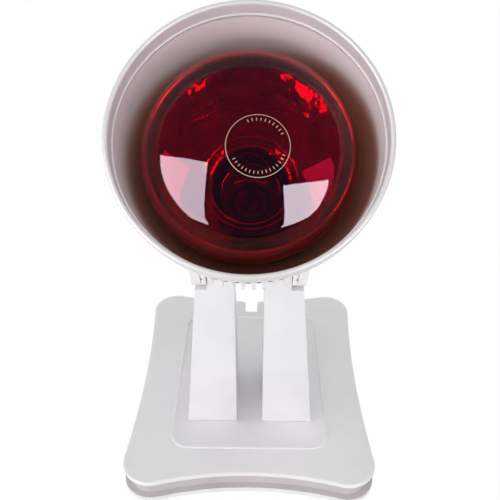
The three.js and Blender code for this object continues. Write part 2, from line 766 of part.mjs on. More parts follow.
// A rocker with two faces that meet at a low ridge, tipped to its resting side
function makeRocker() {
  const halfWidth = switchBodyWidth / 2 - switchWallWidth - runningGap;
  const halfLength = switchBodyLength / 2 - switchWallWidth - 2 * runningGap;
  const face = switchBezelHeight + rockerPivotDepth;
  const outline = new THREE.Shape([
    new THREE.Vector2(-halfLength, -rockerThickness / 2),
    new THREE.Vector2(halfLength, -rockerThickness / 2),
    new THREE.Vector2(halfLength, face + rockerRise / 2),
    new THREE.Vector2(0, face),
    new THREE.Vector2(-halfLength, face + rockerRise / 2),
  ]);
  const tipped = prismX(outline, -halfWidth, halfWidth).rotate([THREE.MathUtils.radToDeg(rockerAngle), 0, 0]);
  return inSwitchFrame(tipped.translate([0, 0, -rockerPivotDepth]));
}

function addPillars(stand) {
  const right = makeRightPillar();
  const back = makeRightBack();
  stand.add(piece('pillar_right', right, 'whitePlastic'));
  stand.add(piece('pillar_left', mirrored(right), 'whitePlastic'));
  stand.add(piece('pillar_back_right', back.subtract(switchCut()), 'whitePlastic'));
  stand.add(piece('pillar_back_left', mirrored(back), 'whitePlastic'));
  stand.add(piece('switch_body', makeSwitchBody(), 'blackPlastic'));
  stand.add(piece('switch_rocker', makeRocker(), 'blackPlastic'));
}

// Pin, washer, click disc, click spring and cap of the right hinge
function makePin() {
  const headX = earBoreX + fitGap;
  const shank = rodX(pinRadius, pinTailX, headX + pinHeadThickness, pivotY, pivotZ);
  const head = rodX(pinHeadRadius, headX, headX + pinHeadThickness, pivotY, pivotZ);
  return shank.add(head).add(rodX(pinTailRadius, pinTailX, pinTailX + pinTailThickness, pivotY, pivotZ));
}

function makeDisc() {
  const shape = new THREE.Shape();
  const points = [];
  for (let i = 0; i < 2 * discTeeth; i += 1) {
    const radius = i % 2 === 0 ? discRadius : discRadius - discToothDepth;
    const angle = (i / discTeeth) * Math.PI;
    points.push(new THREE.Vector2(pivotY + radius * Math.cos(angle), pivotZ + radius * Math.sin(angle)));
  }
  shape.setFromPoints(points);
  const disc = prismX(shape, discX, discX + discThickness);
  const [boreStart, boreEnd] = [discX - cutOverrun, discX + discThickness + cutOverrun];
  return disc.subtract(rodX(pinRadius + fitGap, boreStart, boreEnd, pivotY, pivotZ));
}

// A flat spring that stands on the front wall and clicks in the teeth of the disc
function makeClickSpring() {
  const wallY = pillarFrontY + pillarWall + fitGap;
  const tipZ = pivotZ - discRadius - springReach;
  const footZ = tipZ - springLength;
  const half = springThickness / 2;
  const shape = new THREE.Shape([
    new THREE.Vector2(wallY, footZ),
    new THREE.Vector2(pivotY + half, footZ),
    new THREE.Vector2(pivotY + half, tipZ),
    new THREE.Vector2(pivotY - half, tipZ),
    new THREE.Vector2(pivotY - half, footZ + springThickness),
    new THREE.Vector2(wallY, footZ + springThickness),
  ]);
  const x = discX + (discThickness - springWidth) / 2;
  return prismX(shape, x, x + springWidth);
}

function makeCap() {
  const x = earOuterX - capThickness;
  return rodX(capRadius, x, earOuterX, pivotY, pivotZ);
}

function makeWasher() {
  const ring = rodX(washerRadius, washerX, washerX + washerThickness, pivotY, pivotZ);
  return ring.subtract(rodX(pinRadius + fitGap, washerX - cutOverrun, washerX + cutOverrun, pivotY, pivotZ));
}

function addHinges(stand) {
  const parts = [
    ['hinge_pin', makePin(), 'zincSteel'],
    ['click_disc', makeDisc(), 'paleInsulation'],
    ['click_spring', makeClickSpring(), 'zincSteel'],
    ['spring_washer', makeWasher(), 'zincSteel'],
    ['hinge_cap', makeCap(), 'whitePlastic'],
  ];
  for (const [name, body, finish] of parts) {
    stand.add(piece(`${name}_right`, body, finish));
    stand.add(piece(`${name}_left`, mirrored(body), finish));
  }
}

// Outside of the shade from its front edge to its rear edge, as [radius, setback]
function shadeOutside() {
  const front = new THREE.Vector2(rimRadius - shadeFrontInset, ringDepth + fitGap);
  const stations = shadeSetbackShares.map(
    (share, i) => new THREE.Vector2(rimRadius * shadeRadiusShares[i], shadeDepth * share),
  );
  const curve = new THREE.SplineCurve([front, ...stations]);
  return curve.getPoints(profileSteps).map((point) => [point.x, point.y]);
}

const shadeLine = shadeOutside();

// Radius of the outside of the shade at a setback
function shadeRadiusAt(setback) {
  const next = Math.max(shadeLine.findIndex(([, s]) => s >= setback), 1);
  const [[r0, s0], [r1, s1]] = [shadeLine[next - 1], shadeLine[next]];
  return r0 + ((r1 - r0) * (setback - s0)) / (s1 - s0);
}

function makeFrontRing() {
  const inner = rimRadius - lipThickness;
  const ledgeInner = inner - ringLedgeReach;
  const ledgeEnd = ringLedgeSetback + ringLedgeThickness;
  const shadeInner = rimRadius - shadeFrontInset - shadeWall;
  return turned([
    [inner + ringLipRadius, 0],
    [rimRadius - ringLipRadius, 0],
    [rimRadius, ringLipRadius],
    [rimRadius, ringDepth],
    [shadeInner, ringDepth],
    [ledgeInner, ledgeEnd],
    [ledgeInner, ringLedgeSetback],
    [inner, ringLedgeSetback],
    [inner, ringLipRadius / 2],
    [inner + ringLipRadius, 0],
  ], wideSides);
}

// Ear plate outline in Y and Z of the shade frame
function earOutline() {
  const pivot = new THREE.Vector2(-pivotBelowAxis, -pivotSetback);
  const knee = new THREE.Vector2(-earKneeDrop, -earKneeSetback);
  const rear = new THREE.Vector2(-earRearDrop, -earRearSetback);
  const shape = new THREE.Shape();
  shape.moveTo(-earRootDrop, -earFrontSetback);
  shape.lineTo(-earFrontDrop, -earFrontSetback);
  shape.lineTo(knee.x, knee.y);
  const kneeTouch = touchAngle(pivot, earLobeRadius, knee, 1);
  const rearTouch = touchAngle(pivot, earLobeRadius, rear, -1);
  shape.absarc(pivot.x, pivot.y, earLobeRadius, kneeTouch, rearTouch, false);
  shape.lineTo(rear.x, rear.y);
  shape.lineTo(-earRootDrop, -shadeDepth);
  return shape;
}

function makeEar() {
  const plate = prismX(earOutline(), earInnerX, earOuterX);
  const bore = rodX(earBoreRadius, earBoreX, earOuterX + cutOverrun, -pivotBelowAxis, -pivotSetback);
  const pinHole = rodX(
    pinRadius + fitGap, earInnerX - cutOverrun, earOuterX + cutOverrun, -pivotBelowAxis, -pivotSetback,
  );
  return { plate, holes: bore.add(pinHole) };
}

// Ribs along the underside of the shade and the slots between them
function ribsAndSlots() {
  const ribs = [];
  const slots = [];
  const depthAt = (radius, x) => Math.sqrt(radius ** 2 - x ** 2);
  for (let i = 0; i < ribCount; i += 1) {
    const x = (i - (ribCount - 1) / 2) * ribPitch;
    const root = depthAt(shadeRadiusAt(ribRearSetback), x) - ribRootDepth;
    const frontEdge = depthAt(shadeRadiusAt(ribFrontSetback) + ribProud, x);
    const rearEdgeReach = depthAt(shadeRadiusAt(ribRearSetback) + ribProud, x);
    const rib = new THREE.Shape([
      new THREE.Vector2(-root, -ribRearSetback),
      new THREE.Vector2(-rearEdgeReach, -ribRearSetback),
      new THREE.Vector2(-frontEdge, -ribFrontSetback),
      new THREE.Vector2(-root, -ribFrontSetback),
    ]);
    ribs.push(prismX(rib, x - ribWidth / 2, x + ribWidth / 2));
    if (i === 0) continue;
    const [left, right] = [x - ribPitch + ribWidth / 2, x - ribWidth / 2];
    slots.push(block(left, right, -rimRadius, shadeWall - root, -slotRearSetback, -slotFrontSetback));
  }
  return { ribs: wasm.Manifold.union(ribs), slots: wasm.Manifold.union(slots) };
}

function makeShade() {
  const inside = insideOf(shadeLine, shadeWall);
  const [frontRadius] = inside[0];
  const [rearRadius, rearSetback] = inside[inside.length - 1];
  const collarInner = collarRadius - shadeWall;
  const collarEnd = shadeDepth + collarDepth;
  const shell = turned([
    ...shadeLine,
    [collarRadius, shadeDepth],
    [collarRadius, collarEnd],
    [collarInner, collarEnd],
    [collarInner, rearSetback],
    ...inside.toReversed(),
    shadeLine[0],
  ], wideSides);
  const cavity = turned([
    [0, ringDepth - cutOverrun],
    [frontRadius, ringDepth - cutOverrun],
    ...inside,
    [rearRadius, shadeDepth + cutOverrun],
    [0, shadeDepth + cutOverrun],
  ], wideSides);
  const ear = makeEar();
  const { ribs, slots } = ribsAndSlots();
  const housingRoom = rodZ(
    housingFrontRadius + fitGap, 0, 0, -shadeDepth - collarDepth, -shadeDepth, wideSides,
  );
  const added = wasm.Manifold.union([ear.plate, mirrored(ear.plate), ribs]);
  const outside = added.subtract(housingRoom);
  const holes = wasm.Manifold.union([ear.holes, mirrored(ear.holes), slots]);
  return shell.add(outside.subtract(cavity)).subtract(holes).subtract(collarScrewHoles());
}

// Runs a body that points along +Y round the axis at each housing screw
function roundHousing(make) {
  const bodies = [];
  for (let i = 0; i < housingScrewCount; i += 1) {
    bodies.push(make().rotate([0, 0, (360 * i) / housingScrewCount]));
  }
  return bodies;
}

function collarScrewHoles() {
  return wasm.Manifold.union(roundHousing(() => coneY(
    screwRadius + fitGap, screwRadius + fitGap, 0, collarRadius - 2 * shadeWall, collarRadius + cutOverrun,
    -housingScrewSetback, screwSides,
  )));
}

// Rear housing: it slips over the collar of the shade, tapers, and ends in a rounded back
function housingOutside() {
  const points = [[housingFrontRadius, shadeDepth + fitGap], [housingSideRadius, housingSideSetback]];
  for (let i = 1; i <= housingEndSteps; i += 1) {
    const angle = (Math.PI / 2) * (i / housingEndSteps);
    const reach = (housingSideRadius - housingFlatRadius) * Math.cos(angle);
    points.push([housingFlatRadius + reach, housingSideSetback + housingEndRound * Math.sin(angle)]);
  }
  return points;
}

function makeRearHousing() {
  const outside = [...housingOutside(), [0, housingEnd]];
  const inside = [
    [collarRadius + fitGap, shadeDepth + fitGap],
    [collarRadius + fitGap, shadeDepth + collarDepth + fitGap],
    ...housingOutside().slice(1).map(([radius, setback]) => [
      radius - housingWall,
      setback - (setback > housingSideSetback ? housingWall : 0),
    ]),
    [0, housingEnd - housingWall],
  ];
  let shell = turned([...outside, ...inside.toReversed(), outside[0]], wideSides);
  const cuts = [];
  for (const x of [-bracketScrewX, bracketScrewX]) {
    const bossRoot = -housingEnd + housingWall / 2;
    shell = shell.add(rodZ(bracketBossRadius, x, 0, bossRoot, -bracketBossEnd, screwSides));
    const [boreEnd, boreStart] = [-bracketBossEnd - bracketScrewLength, -bracketBossEnd + cutOverrun];
    cuts.push(rodZ(screwRadius + fitGap, x, 0, boreEnd, boreStart, screwSides));
  }
  for (let i = 0; i < ventCount; i += 1) {
    const slot = block(
      ventInnerRadius, ventOuterRadius, -ventWidth / 2, ventWidth / 2,
      -housingEnd - cutOverrun, -bracketBossEnd - fitGap,
    );
    const turn = (360 * (i + 0.5)) / ventCount;
    cuts.push(slot.rotate([0, 0, turn]));
  }
  cuts.push(...roundHousing(() => coneY(
    screwRadius + fitGap, screwRadius + fitGap, 0, collarRadius, housingFrontRadius + cutOverrun,
    -housingScrewSetback, screwSides,
  )));
  cuts.push(...roundHousing(() => coneY(
    screwHeadRadius + fitGap, screwHeadRadius + fitGap, 0, housingScrewSeat, housingFrontRadius + cutOverrun,
    -housingScrewSetback, screwSides,
  )));
  return shell.subtract(wasm.Manifold.union(cuts));
}

// A housing screw lies along Y with its head in the seat of the housing
function makeHousingScrews() {
  const tip = housingScrewSeat - housingScrewLength;
  const headTop = housingScrewSeat + fitGap + housingScrewHead;
  return roundHousing(() => {
    const shank = coneY(screwRadius, screwRadius, 0, tip, headTop, -housingScrewSetback, screwSides);
    const head = coneY(
      screwHeadRadius, screwHeadRadius, 0, housingScrewSeat + fitGap, headTop,
      -housingScrewSetback, screwSides,
    );
    return shank.add(head);
  });
}

// Lamp holder: a stepped porcelain cup with a brass thread sleeve and a centre contact
function makeHolder() {
  const back = holderFrontSetback + holderLength;
  const bore = screwCapRadius + shellWall + 2 * runningGap + fitGap;
  const cup = turned([
    [bore, holderFrontSetback],
    [holderRadius, holderFrontSetback],
    [holderRadius, holderStepSetback],
    [holderStepRadius, holderStepSetback],
    [holderStepRadius, back],
    [0, back],
    [0, cupFloorSetback],
    [bore, cupFloorSetback],
    [bore, holderFrontSetback],
  ], mediumSides);
  const [halfX, halfY] = [holderContactWidth / 2 + fitGap, holderContactLength / 2 + fitGap];
  const grooveEnd = cupFloorSetback + holderContactThickness;
  return cup.subtract(block(-halfX, halfX, -halfY, halfY, -grooveEnd, -cupFloorSetback + fitGap));
}

function makeHolderShell() {
  const inner = screwCapRadius + 2 * runningGap;
  const outer = inner + shellWall;
  const front = holderFrontSetback + fitGap;
  const back = cupFloorSetback - fitGap;
  return turned([
    [inner, front], [outer, front], [outer, back], [inner, back], [inner, front],
  ], mediumSides);
}

function makeHolderContact() {
  const seat = bulbTipEnd + fitGap;
  const [halfX, halfY] = [holderContactWidth / 2, holderContactLength / 2];
  return block(-halfX, halfX, -halfY, halfY, -seat - holderContactThickness, -seat);
}

function makeBracket() {
  const [back, front] = [-holderPlateSetback - bracketThickness, -holderPlateSetback];
  const round = rodZ(bracketRadius, 0, 0, back, front, mediumSides);
  const halfWidth = bracketWidth / 2;
  let plate = round.intersect(block(-bracketRadius, bracketRadius, -halfWidth, halfWidth, back, front));
  plate = plate.subtract(rodZ(bracketHoleRadius, 0, 0, back - cutOverrun, front + cutOverrun));
  for (const x of [-bracketScrewX, bracketScrewX]) {
    const hole = rodZ(screwRadius + fitGap, x, 0, back - cutOverrun, front + cutOverrun, screwSides);
    plate = plate.subtract(hole);
  }
  return plate;
}

// Bulb: glass envelope, open at its neck inside the screw cap
function bulbOutside() {
  const points = [];
  for (let i = 0; i <= domeSteps; i += 1) {
    const angle = bulbDomeAngle * (i / domeSteps);
    points.push([bulbDomeRadius * Math.sin(angle), bulbDomeMiddle - bulbDomeRadius * Math.cos(angle)]);
  }
  const middle = bulbRadius - bulbShoulderRadius;
  for (let i = 1; i <= shoulderSteps; i += 1) {
    const angle = bulbDomeAngle + (Math.PI / 2 - bulbDomeAngle) * (i / shoulderSteps);
    const radius = middle + bulbShoulderRadius * Math.sin(angle);
    points.push([radius, bulbWidestSetback - bulbShoulderRadius * Math.cos(angle)]);
  }
  bulbConeSetbackShares.forEach((share, i) => {
    const setback = bulbWidestSetback + (bulbNeckSetback - bulbWidestSetback) * share;
    points.push([bulbRadius * bulbConeRadiusShares[i], setback]);
  });
  points.push([bulbNeckRadius, bulbNeckSetback], [bulbNeckEndRadius, bulbNeckEnd]);
  const tailRadius = screwCapRadius - screwCapWall - fitGap;
  points.push([tailRadius, capFrontSetback - fitGap], [tailRadius, capFrontSetback + glassTailLength]);
  return points;
}

function makeEnvelope() {
  const outside = bulbOutside();
  const inside = insideOf(outside, glassWall);
  inside[0] = [0, bulbFaceSetback + glassWall];
  return turned([...outside, ...inside.toReversed()], wideSides);
}

// The reflecting coat on the back of the glass, as a thin liner with a small gap
function makeMirror() {
  const wall = insideOf(bulbOutside(), glassWall + fitGap);
  const liner = wall.filter(([, s]) => s > bulbWidestSetback + mirrorFrontGap && s <= bulbNeckSetback);
  const inner = insideOf(liner, mirrorThickness);
  return turned([...liner, ...inner.toReversed(), liner[0]], wideSides);
}

function makeScrewCap() {
  const inner = screwCapRadius - screwCapWall;
  const end = capFrontSetback + screwCapLength;
  return turned([
    [inner, capFrontSetback],
    [screwCapRadius, capFrontSetback],
    [screwCapRadius, end - capShoulderLength],
    [capShoulderRadius, end],
    [capShoulderRadius - screwCapWall, end],
    [inner, end - capShoulderLength],
    [inner, capFrontSetback],
  ], mediumSides);
}

// Insulating plug and solder tip that close the end of the screw cap
function makeCapTip() {
  const start = capFrontSetback + screwCapLength + fitGap;
  return turned([
    [0, start],
    [capShoulderRadius - screwCapWall, start],
    [capTipRadius, start + capTipLength / 2],
    [capTipRadius / 2, start + capTipLength],
    [0, start + capTipLength],
  ], smallSides);
}

function makeStem() {
  const flareStart = bulbNeckEnd - stemFlare;
  const flareRadius = bulbNeckEndRadius - glassWall - 2 * fitGap;
  return turned([
    [0, stemFrontSetback],
    [stemRadius * stemTipShare, stemFrontSetback],
    [stemRadius, stemFrontSetback + stemRadius],
    [stemRadius, flareStart],
    [flareRadius * stemFlareShare, bulbNeckEnd],
    [0, bulbNeckEnd],
  ], smallSides);
}

// A round wire swept along points
function wire(points, radius, steps) {
  const shape = new THREE.Shape().absarc(0, 0, radius, 0, 2 * Math.PI, false);
  const extrudePath = new THREE.CatmullRomCurve3(points);
  const settings = { steps, extrudePath, bevelEnabled: false, curveSegments: wireSides / 2 };
  return solid(new THREE.ExtrudeGeometry(shape, settings));
}

// Where the filament's ring is at an angle from the top
function onFilament(angle) {
  const [x, y] = [filamentRadius * Math.sin(angle), filamentRadius * Math.cos(angle)];
  return new THREE.Vector3(x, y, -filamentSetback);
}

function makeFilament() {
  const points = [];
  for (let i = 0; i <= filamentSteps; i += 1) {
    points.push(onFilament(filamentSweep * (i / filamentSteps - 0.5)));
  }
  return wire(points, filamentWireRadius, filamentSteps);
}

// A lead runs from the stem out to one end of the filament
function makeLead(side) {
  const end = onFilament((side * filamentSweep) / 2);
  const gap = filamentWireRadius + leadRadius + fitGap;
  const start = new THREE.Vector3(side * leadRootX, 0, -stemFrontSetback + fitGap);
  const tip = new THREE.Vector3(end.x, end.y, end.z - gap);
  const bend = new THREE.Vector3((start.x + tip.x) / 2, (start.y + tip.y) / 2, (start.z + tip.z) / 2);
  return wire([start, bend, tip], leadRadius, leadSteps);
}

const lamp = new THREE.Group();
const stand = new THREE.Group();
addBase(stand);
addPillars(stand);
addHinges(stand);
lamp.add(stand);

// The shade group turns about the hinge pins
const head = new THREE.Group();
head.position.set(0, pivotY, pivotZ);
head.rotation.x = Math.PI / 2 - tilt;
const shadeFrame = new THREE.Group();
shadeFrame.position.set(0, pivotBelowAxis, pivotSetback);
head.add(shadeFrame);
lamp.add(head);

const headPieces = [
  ['front_ring', makeFrontRing(), 'whitePlastic'],
  ['shade', makeShade(), 'whitePlastic'],
  ['rear_housing', makeRearHousing(), 'whitePlastic'],
  ['lamp_holder', makeHolder(), 'porcelain'],
  ['holder_sleeve', makeHolderShell(), 'brass'],
  ['holder_contact', makeHolderContact(), 'brass'],
  ['holder_bracket', makeBracket(), 'zincSteel'],
  ['bulb_envelope', makeEnvelope(), 'redGlass'],
  ['bulb_reflector', makeMirror(), 'mirror'],
  ['bulb_screw_cap', makeScrewCap(), 'brass'],
  ['bulb_cap_tip', makeCapTip(), 'zincSteel'],
  ['bulb_stem', makeStem(), 'clearGlass'],
  ['bulb_filament', makeFilament(), 'tungsten'],
  ['bulb_lead_left', makeLead(-1), 'zincSteel'],
  ['bulb_lead_right', makeLead(1), 'zincSteel'],
];
for (const [name, body, finish] of headPieces) shadeFrame.add(piece(name, body, finish));
makeHousingScrews().forEach((body, i) => {
  shadeFrame.add(piece(`housing_screw_${i + 1}`, body, 'zincSteel'));
});
[-bracketScrewX, bracketScrewX].forEach((x, i) => {
  const headZ = -holderPlateSetback + fitGap + screwHeadHeight;
  shadeFrame.add(piece(`bracket_screw_${i + 1}`, screw(x, 0, headZ, bracketScrewLength, -1), 'zincSteel'));
});

// The lamp stands on the floor, centred on its own footprint
const bounds = new THREE.Box3().setFromObject(lamp, true);
const middle = bounds.getCenter(new THREE.Vector3());
lamp.position.set(-middle.x, -middle.y, -bounds.min.z);

export default lamp;
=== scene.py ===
# Infrared heat lamp for the table, dressed for its photograph. Lengths are in millimetres times mm.
import math

import bpy
from mathutils import Matrix, Vector


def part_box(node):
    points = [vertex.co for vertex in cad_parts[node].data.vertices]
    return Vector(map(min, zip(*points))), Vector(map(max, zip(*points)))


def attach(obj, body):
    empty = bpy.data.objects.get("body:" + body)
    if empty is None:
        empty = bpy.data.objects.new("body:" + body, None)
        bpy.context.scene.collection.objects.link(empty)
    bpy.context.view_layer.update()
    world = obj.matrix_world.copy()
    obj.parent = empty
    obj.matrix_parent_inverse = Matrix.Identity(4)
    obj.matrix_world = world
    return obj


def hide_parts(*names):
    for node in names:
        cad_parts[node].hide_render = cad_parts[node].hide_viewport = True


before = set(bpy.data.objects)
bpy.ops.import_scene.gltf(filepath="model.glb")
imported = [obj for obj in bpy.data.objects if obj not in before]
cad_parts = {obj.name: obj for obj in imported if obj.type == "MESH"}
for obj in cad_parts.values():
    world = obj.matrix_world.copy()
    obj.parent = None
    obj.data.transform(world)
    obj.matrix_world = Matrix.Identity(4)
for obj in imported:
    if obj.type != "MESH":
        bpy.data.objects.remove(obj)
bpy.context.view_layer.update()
mm = 0.001
print("frame loaded")

# The camera stands where the photograph was taken from
cameraView = {
    "place": (4.4, -350.3, 396.2),
    "lookDown": 34.96,
    "heading": 0.738,
    "lens": 44.06,
    "sensor": 36,
}

cameraData = bpy.data.cameras.new("camera")
cameraData.lens = cameraView["lens"]
cameraData.sensor_width = cameraView["sensor"]
cameraData.clip_start = 0.01
camera = bpy.data.objects.new("camera", cameraData)
bpy.context.scene.collection.objects.link(camera)
camera.location = Vector(cameraView["place"]) * mm
camera.rotation_euler = (
    math.radians(90 - cameraView["lookDown"]),
    0,
    math.radians(cameraView["heading"]),
)
bpy.context.scene.camera = camera


def toLinear(hexColour):
    # sRGB hex to the linear values that the sockets want
    channels = [int(hexColour[i:i + 2], 16) / 255 for i in (1, 3, 5)]
    return [c / 12.92 if c <= 0.04045 else ((c + 0.055) / 1.055) ** 2.4 for c in channels] + [1]


def addNode(tree, kind, values=()):
    # A node with its settings by socket or property; a value that is a node or a socket is linked
    node = tree.nodes.new("ShaderNode" + kind)
    for key, value in dict(values).items():
        if isinstance(value, bpy.types.Node):
            value = value.outputs[0]
        if isinstance(value, bpy.types.NodeSocket):
            tree.links.new(value, node.inputs[key])
        elif isinstance(key, int) or key in node.inputs:
            node.inputs[key].default_value = value
        else:
            setattr(node, key, value)
    return node


def newMaterial(name):
    # An empty node material with its shader and output
    material = bpy.data.materials.new(name)
    material.use_nodes = True
    tree = material.node_tree
    tree.nodes.clear()
    shader = addNode(tree, "BsdfPrincipled")
    addNode(tree, "OutputMaterial", {"Surface": shader})
    place = addNode(tree, "TexCoord")
    return material, tree, shader, place.outputs["Object"]


def perMetre(sizeInMm):
    # Noise scale for features of that size
    return 1 / (sizeInMm * mm)


# How the patterns of every finish are drawn, and what plastics and metals share
patternLook = {"driftEdges": (0.35, 0.65), "driftDetail": 3, "roughDetail": 4, "grainDetail": 2}
plasticLook = {"ior": 1.53, "tintPatch": 40, "dullPatch": 12}
metalLook = {"tintPatch": 9, "dullPatch": 3, "strength": 0.4}


def setColours(tree, shader, place, darkHex, lightHex, patchSize):
    # Slow drift between two close colours
    look = patternLook
    drift = addNode(tree, "TexNoise", {
        "Vector": place, "Scale": perMetre(patchSize), "Detail": look["driftDetail"]})
    ramp = addNode(tree, "ValToRGB", {"Fac": drift})
    for stop, edge, colour in zip(ramp.color_ramp.elements, look["driftEdges"], (darkHex, lightHex)):
        stop.position = edge
        stop.color = toLinear(colour)
    tree.links.new(ramp.outputs["Color"], shader.inputs["Base Color"])


def setRoughness(tree, shader, place, low, high, patchSize):
    # Roughness that wanders between two values
    noise = addNode(tree, "TexNoise", {
        "Vector": place, "Scale": perMetre(patchSize), "Detail": patternLook["roughDetail"]})
    spread = addNode(tree, "MapRange", {"Value": noise, "To Min": low, "To Max": high})
    tree.links.new(spread.outputs["Result"], shader.inputs["Roughness"])


def setGrain(tree, shader, place, grainSize, depth, strength):
    # Fine moulded or sanded grain
    noise = addNode(tree, "TexNoise", {
        "Vector": place, "Scale": perMetre(grainSize), "Detail": patternLook["grainDetail"]})
    bump = addNode(tree, "Bump", {"Height": noise, "Strength": strength, "Distance": depth * mm})
    tree.links.new(bump.outputs["Normal"], shader.inputs["Normal"])


def moulded(name, darkHex, lightHex, roughness, grainSize, depth, strength=0.5):
    # Injection moulded plastic: even colour, faint flow patches, fine spark-eroded grain
    material, tree, shader, place = newMaterial(name)
    setColours(tree, shader, place, darkHex, lightHex, plasticLook["tintPatch"])
    setRoughness(tree, shader, place, *roughness, plasticLook["dullPatch"])
    setGrain(tree, shader, place, grainSize, depth, strength)
    shader.inputs["IOR"].default_value = plasticLook["ior"]
    return material


def metal(name, darkHex, lightHex, roughness, grainSize, depth, look=metalLook):
    # Bright metal part: tinted reflection with drawn or plated grain
    material, tree, shader, place = newMaterial(name)
    setColours(tree, shader, place, darkHex, lightHex, look["tintPatch"])
    setRoughness(tree, shader, place, *roughness, look["dullPatch"])
    setGrain(tree, shader, place, grainSize, depth, look["strength"])
    shader.inputs["Metallic"].default_value = 1
    return material


def blownGlass(name, look):
    # Glass tinted right through, with a flame-polished skin that waves a little
    material, tree, shader, place = newMaterial(name)
    shader.inputs["Base Color"].default_value = toLinear(look["colour"])
    shader.inputs["Transmission Weight"].default_value = 1
    shader.inputs["IOR"].default_value = look["ior"]
    setRoughness(tree, shader, place, *look["roughness"], look["dullPatch"])
    setGrain(tree, shader, place, look["wave"], look["depth"], look["strength"])
    return material


# ABS straight from the mould, satin and nearly white
whiteAbs = moulded("white ABS, satin moulded", "#E6E6E8", "#EBEBED", (0.34, 0.46), 0.9, 0.012)
# The ring of the shade, of the same ABS made a shade darker all over: painted shade on the lit ring
ringShadedAbs = moulded("white ABS, painted shade on the ring", "#D9D7D8", "#DEDCDC", (0.36, 0.48), 0.9, 0.012)
# The same ABS with a coarser eroded grain on the wide top of the base
grainedAbs = moulded("grained ABS, spark eroded", "#E6E6E7", "#EAEAEB", (0.42, 0.55), 0.8, 0.03, 0.7)
# Heat-resistant white plastic in the reflector side of the shade, a little duller
heatAbs = moulded("heat-resistant white plastic", "#EDEBEB", "#F2F0F0", (0.3, 0.42), 1.4, 0.012)
# Soft rubber, charcoal and dull
rubber = moulded("moulded rubber", "#222224", "#2C2C2E", (0.7, 0.9), 0.7, 0.05)
# Polished nylon of the rocker switch, black
blackNylon = moulded("black nylon, polished", "#101011", "#18181A", (0.22, 0.32), 0.8, 0.01)
# Pale insulating moulding of terminals and click discs
insulation = moulded("pale thermoset insulation", "#DCD5C9", "#E6E0D5", (0.5, 0.65), 1.1, 0.03)
# Glazed ceramic of the lamp holder
porcelain = moulded("glazed porcelain", "#F1ECE2", "#F8F4EB", (0.08, 0.16), 3, 0.02)
# Zinc-plated steel of screws, pins and springs
zincSteel = metal("zinc-plated steel", "#A9ABAE", "#C4C6C8", (0.25, 0.42), 0.6, 0.02)
# Raw rolled steel of the ballast
rolledSteel = metal("hot-rolled steel", "#3F4043", "#5C5D60", (0.5, 0.7), 1.5, 0.06)
# Spun brass of the cap and the holder's sleeve
brass = metal("spun brass", "#B98F45", "#D3AE63", (0.18, 0.32), 0.5, 0.015)
# Drawn tungsten of the filament, dark grey
tungsten = metal("drawn tungsten", "#5A5855", "#7C7974", (0.3, 0.45), 0.3, 0.01)
print("plain materials made")

# Thick coloured glass of the bulb, dark ruby with a fire-polished skin
rubyGlass = blownGlass("ruby glass, blown", {
    "colour": "#E2093A", "ior": 1.36, "roughness": (0, 0.02), "dullPatch": 30,
    "wave": 42, "depth": 0.12, "strength": 0.12})
# Clear glass of the stem, slightly milky from the flame
clearGlass = blownGlass("clear glass, flame worked", {
    "colour": "#EEF4F3", "ior": 1.5, "roughness": (0, 0.08), "dullPatch": 6,
    "wave": 5, "depth": 0.05, "strength": 0.3})
# Aluminium vapour coat on the back of the glass, a wavy mirror
mirrorLook = {"tintPatch": 14, "dullPatch": 10, "strength": 0.8}
mirrorCoat = metal(
    "vapour-coated aluminium mirror", "#B9BABD", "#D2D3D6", (0.04, 0.16), 13, 1.2, mirrorLook)
print("glass and mirror made")


def clearSelection():
    # Object mode with nothing picked
    if bpy.context.object and bpy.context.object.mode != "OBJECT":
        bpy.ops.object.mode_set(mode="OBJECT")
    bpy.ops.object.select_all(action="DESELECT")


# Pale floor and soft studio lights
studio = {
    "floorSize": 7,
    "floorColours": ("#F4F4F4", "#F6F6F6"),
    "floorPatch": 60,
    "floorRoughness": 0.9,
    "floorLift": 0.98,
    "fill": 0.7,
    "fillColour": "#FFFEFC",
    "roomColour": "#626290",
    "roomThroughGlass": 0.2,
    "floorDim": 0.03,
    "floorSweep": (-0.6, -0.2),
    "roomSweep": (0.35, 0.75),
    "target": (0, -58, 240),
    "boxes": {
        # Two windows for gloss, mirrored on the face of the bulb
        "softboxLeft": {
            "heading": (-0.688, -0.622, 0.372), "side": (0.725, -0.612, 0.317), "wide": 0.737, "tall": 0.934,
            "watts": 42.9, "colour": "#FFEFFF", "sees": "gloss"},
        "softboxRight": {
            "heading": (0.567, -0.758, 0.323), "side": (0.824, 0.53, -0.202), "wide": 0.615, "tall": 0.645,
            "watts": 31.2, "colour": "#F9EFFB", "sees": "gloss"},
        # Two strips for glass, mirrored in the coat inside the bulb
        "stripLeft": {
            "heading": (-0.8, -0.5, 0.33), "side": (0.5, -0.8, 0.1), "wide": 0.45, "tall": 0.9,
            "watts": 18, "sees": "glass"},
        "stripRight": {
            "heading": (0.74, -0.58, 0.33), "side": (0.6, 0.8, -0.1), "wide": 0.45, "tall": 0.9,
            "watts": 18, "sees": "glass"},
        # Sheets overhead, low in front and to the left that only light the surfaces
        "overhead": {
            "heading": (0.15, -0.1, 1), "side": (1, 0, 0), "wide": 1.4, "tall": 1.4,
            "watts": 2.25, "sees": "surface", "away": 1.3},
        "front": {
            "heading": (-0.25, -1, -0.08), "side": (1, 0, 0), "wide": 1.3, "tall": 0.24,
            "watts": 3, "sees": "surface"},
        "left": {
            "heading": (-1, -0.5, 0.12), "side": (0.5, -1, 0), "wide": 0.6, "tall": 0.5,
            "watts": 1.8, "sees": "surface"},
    },
}


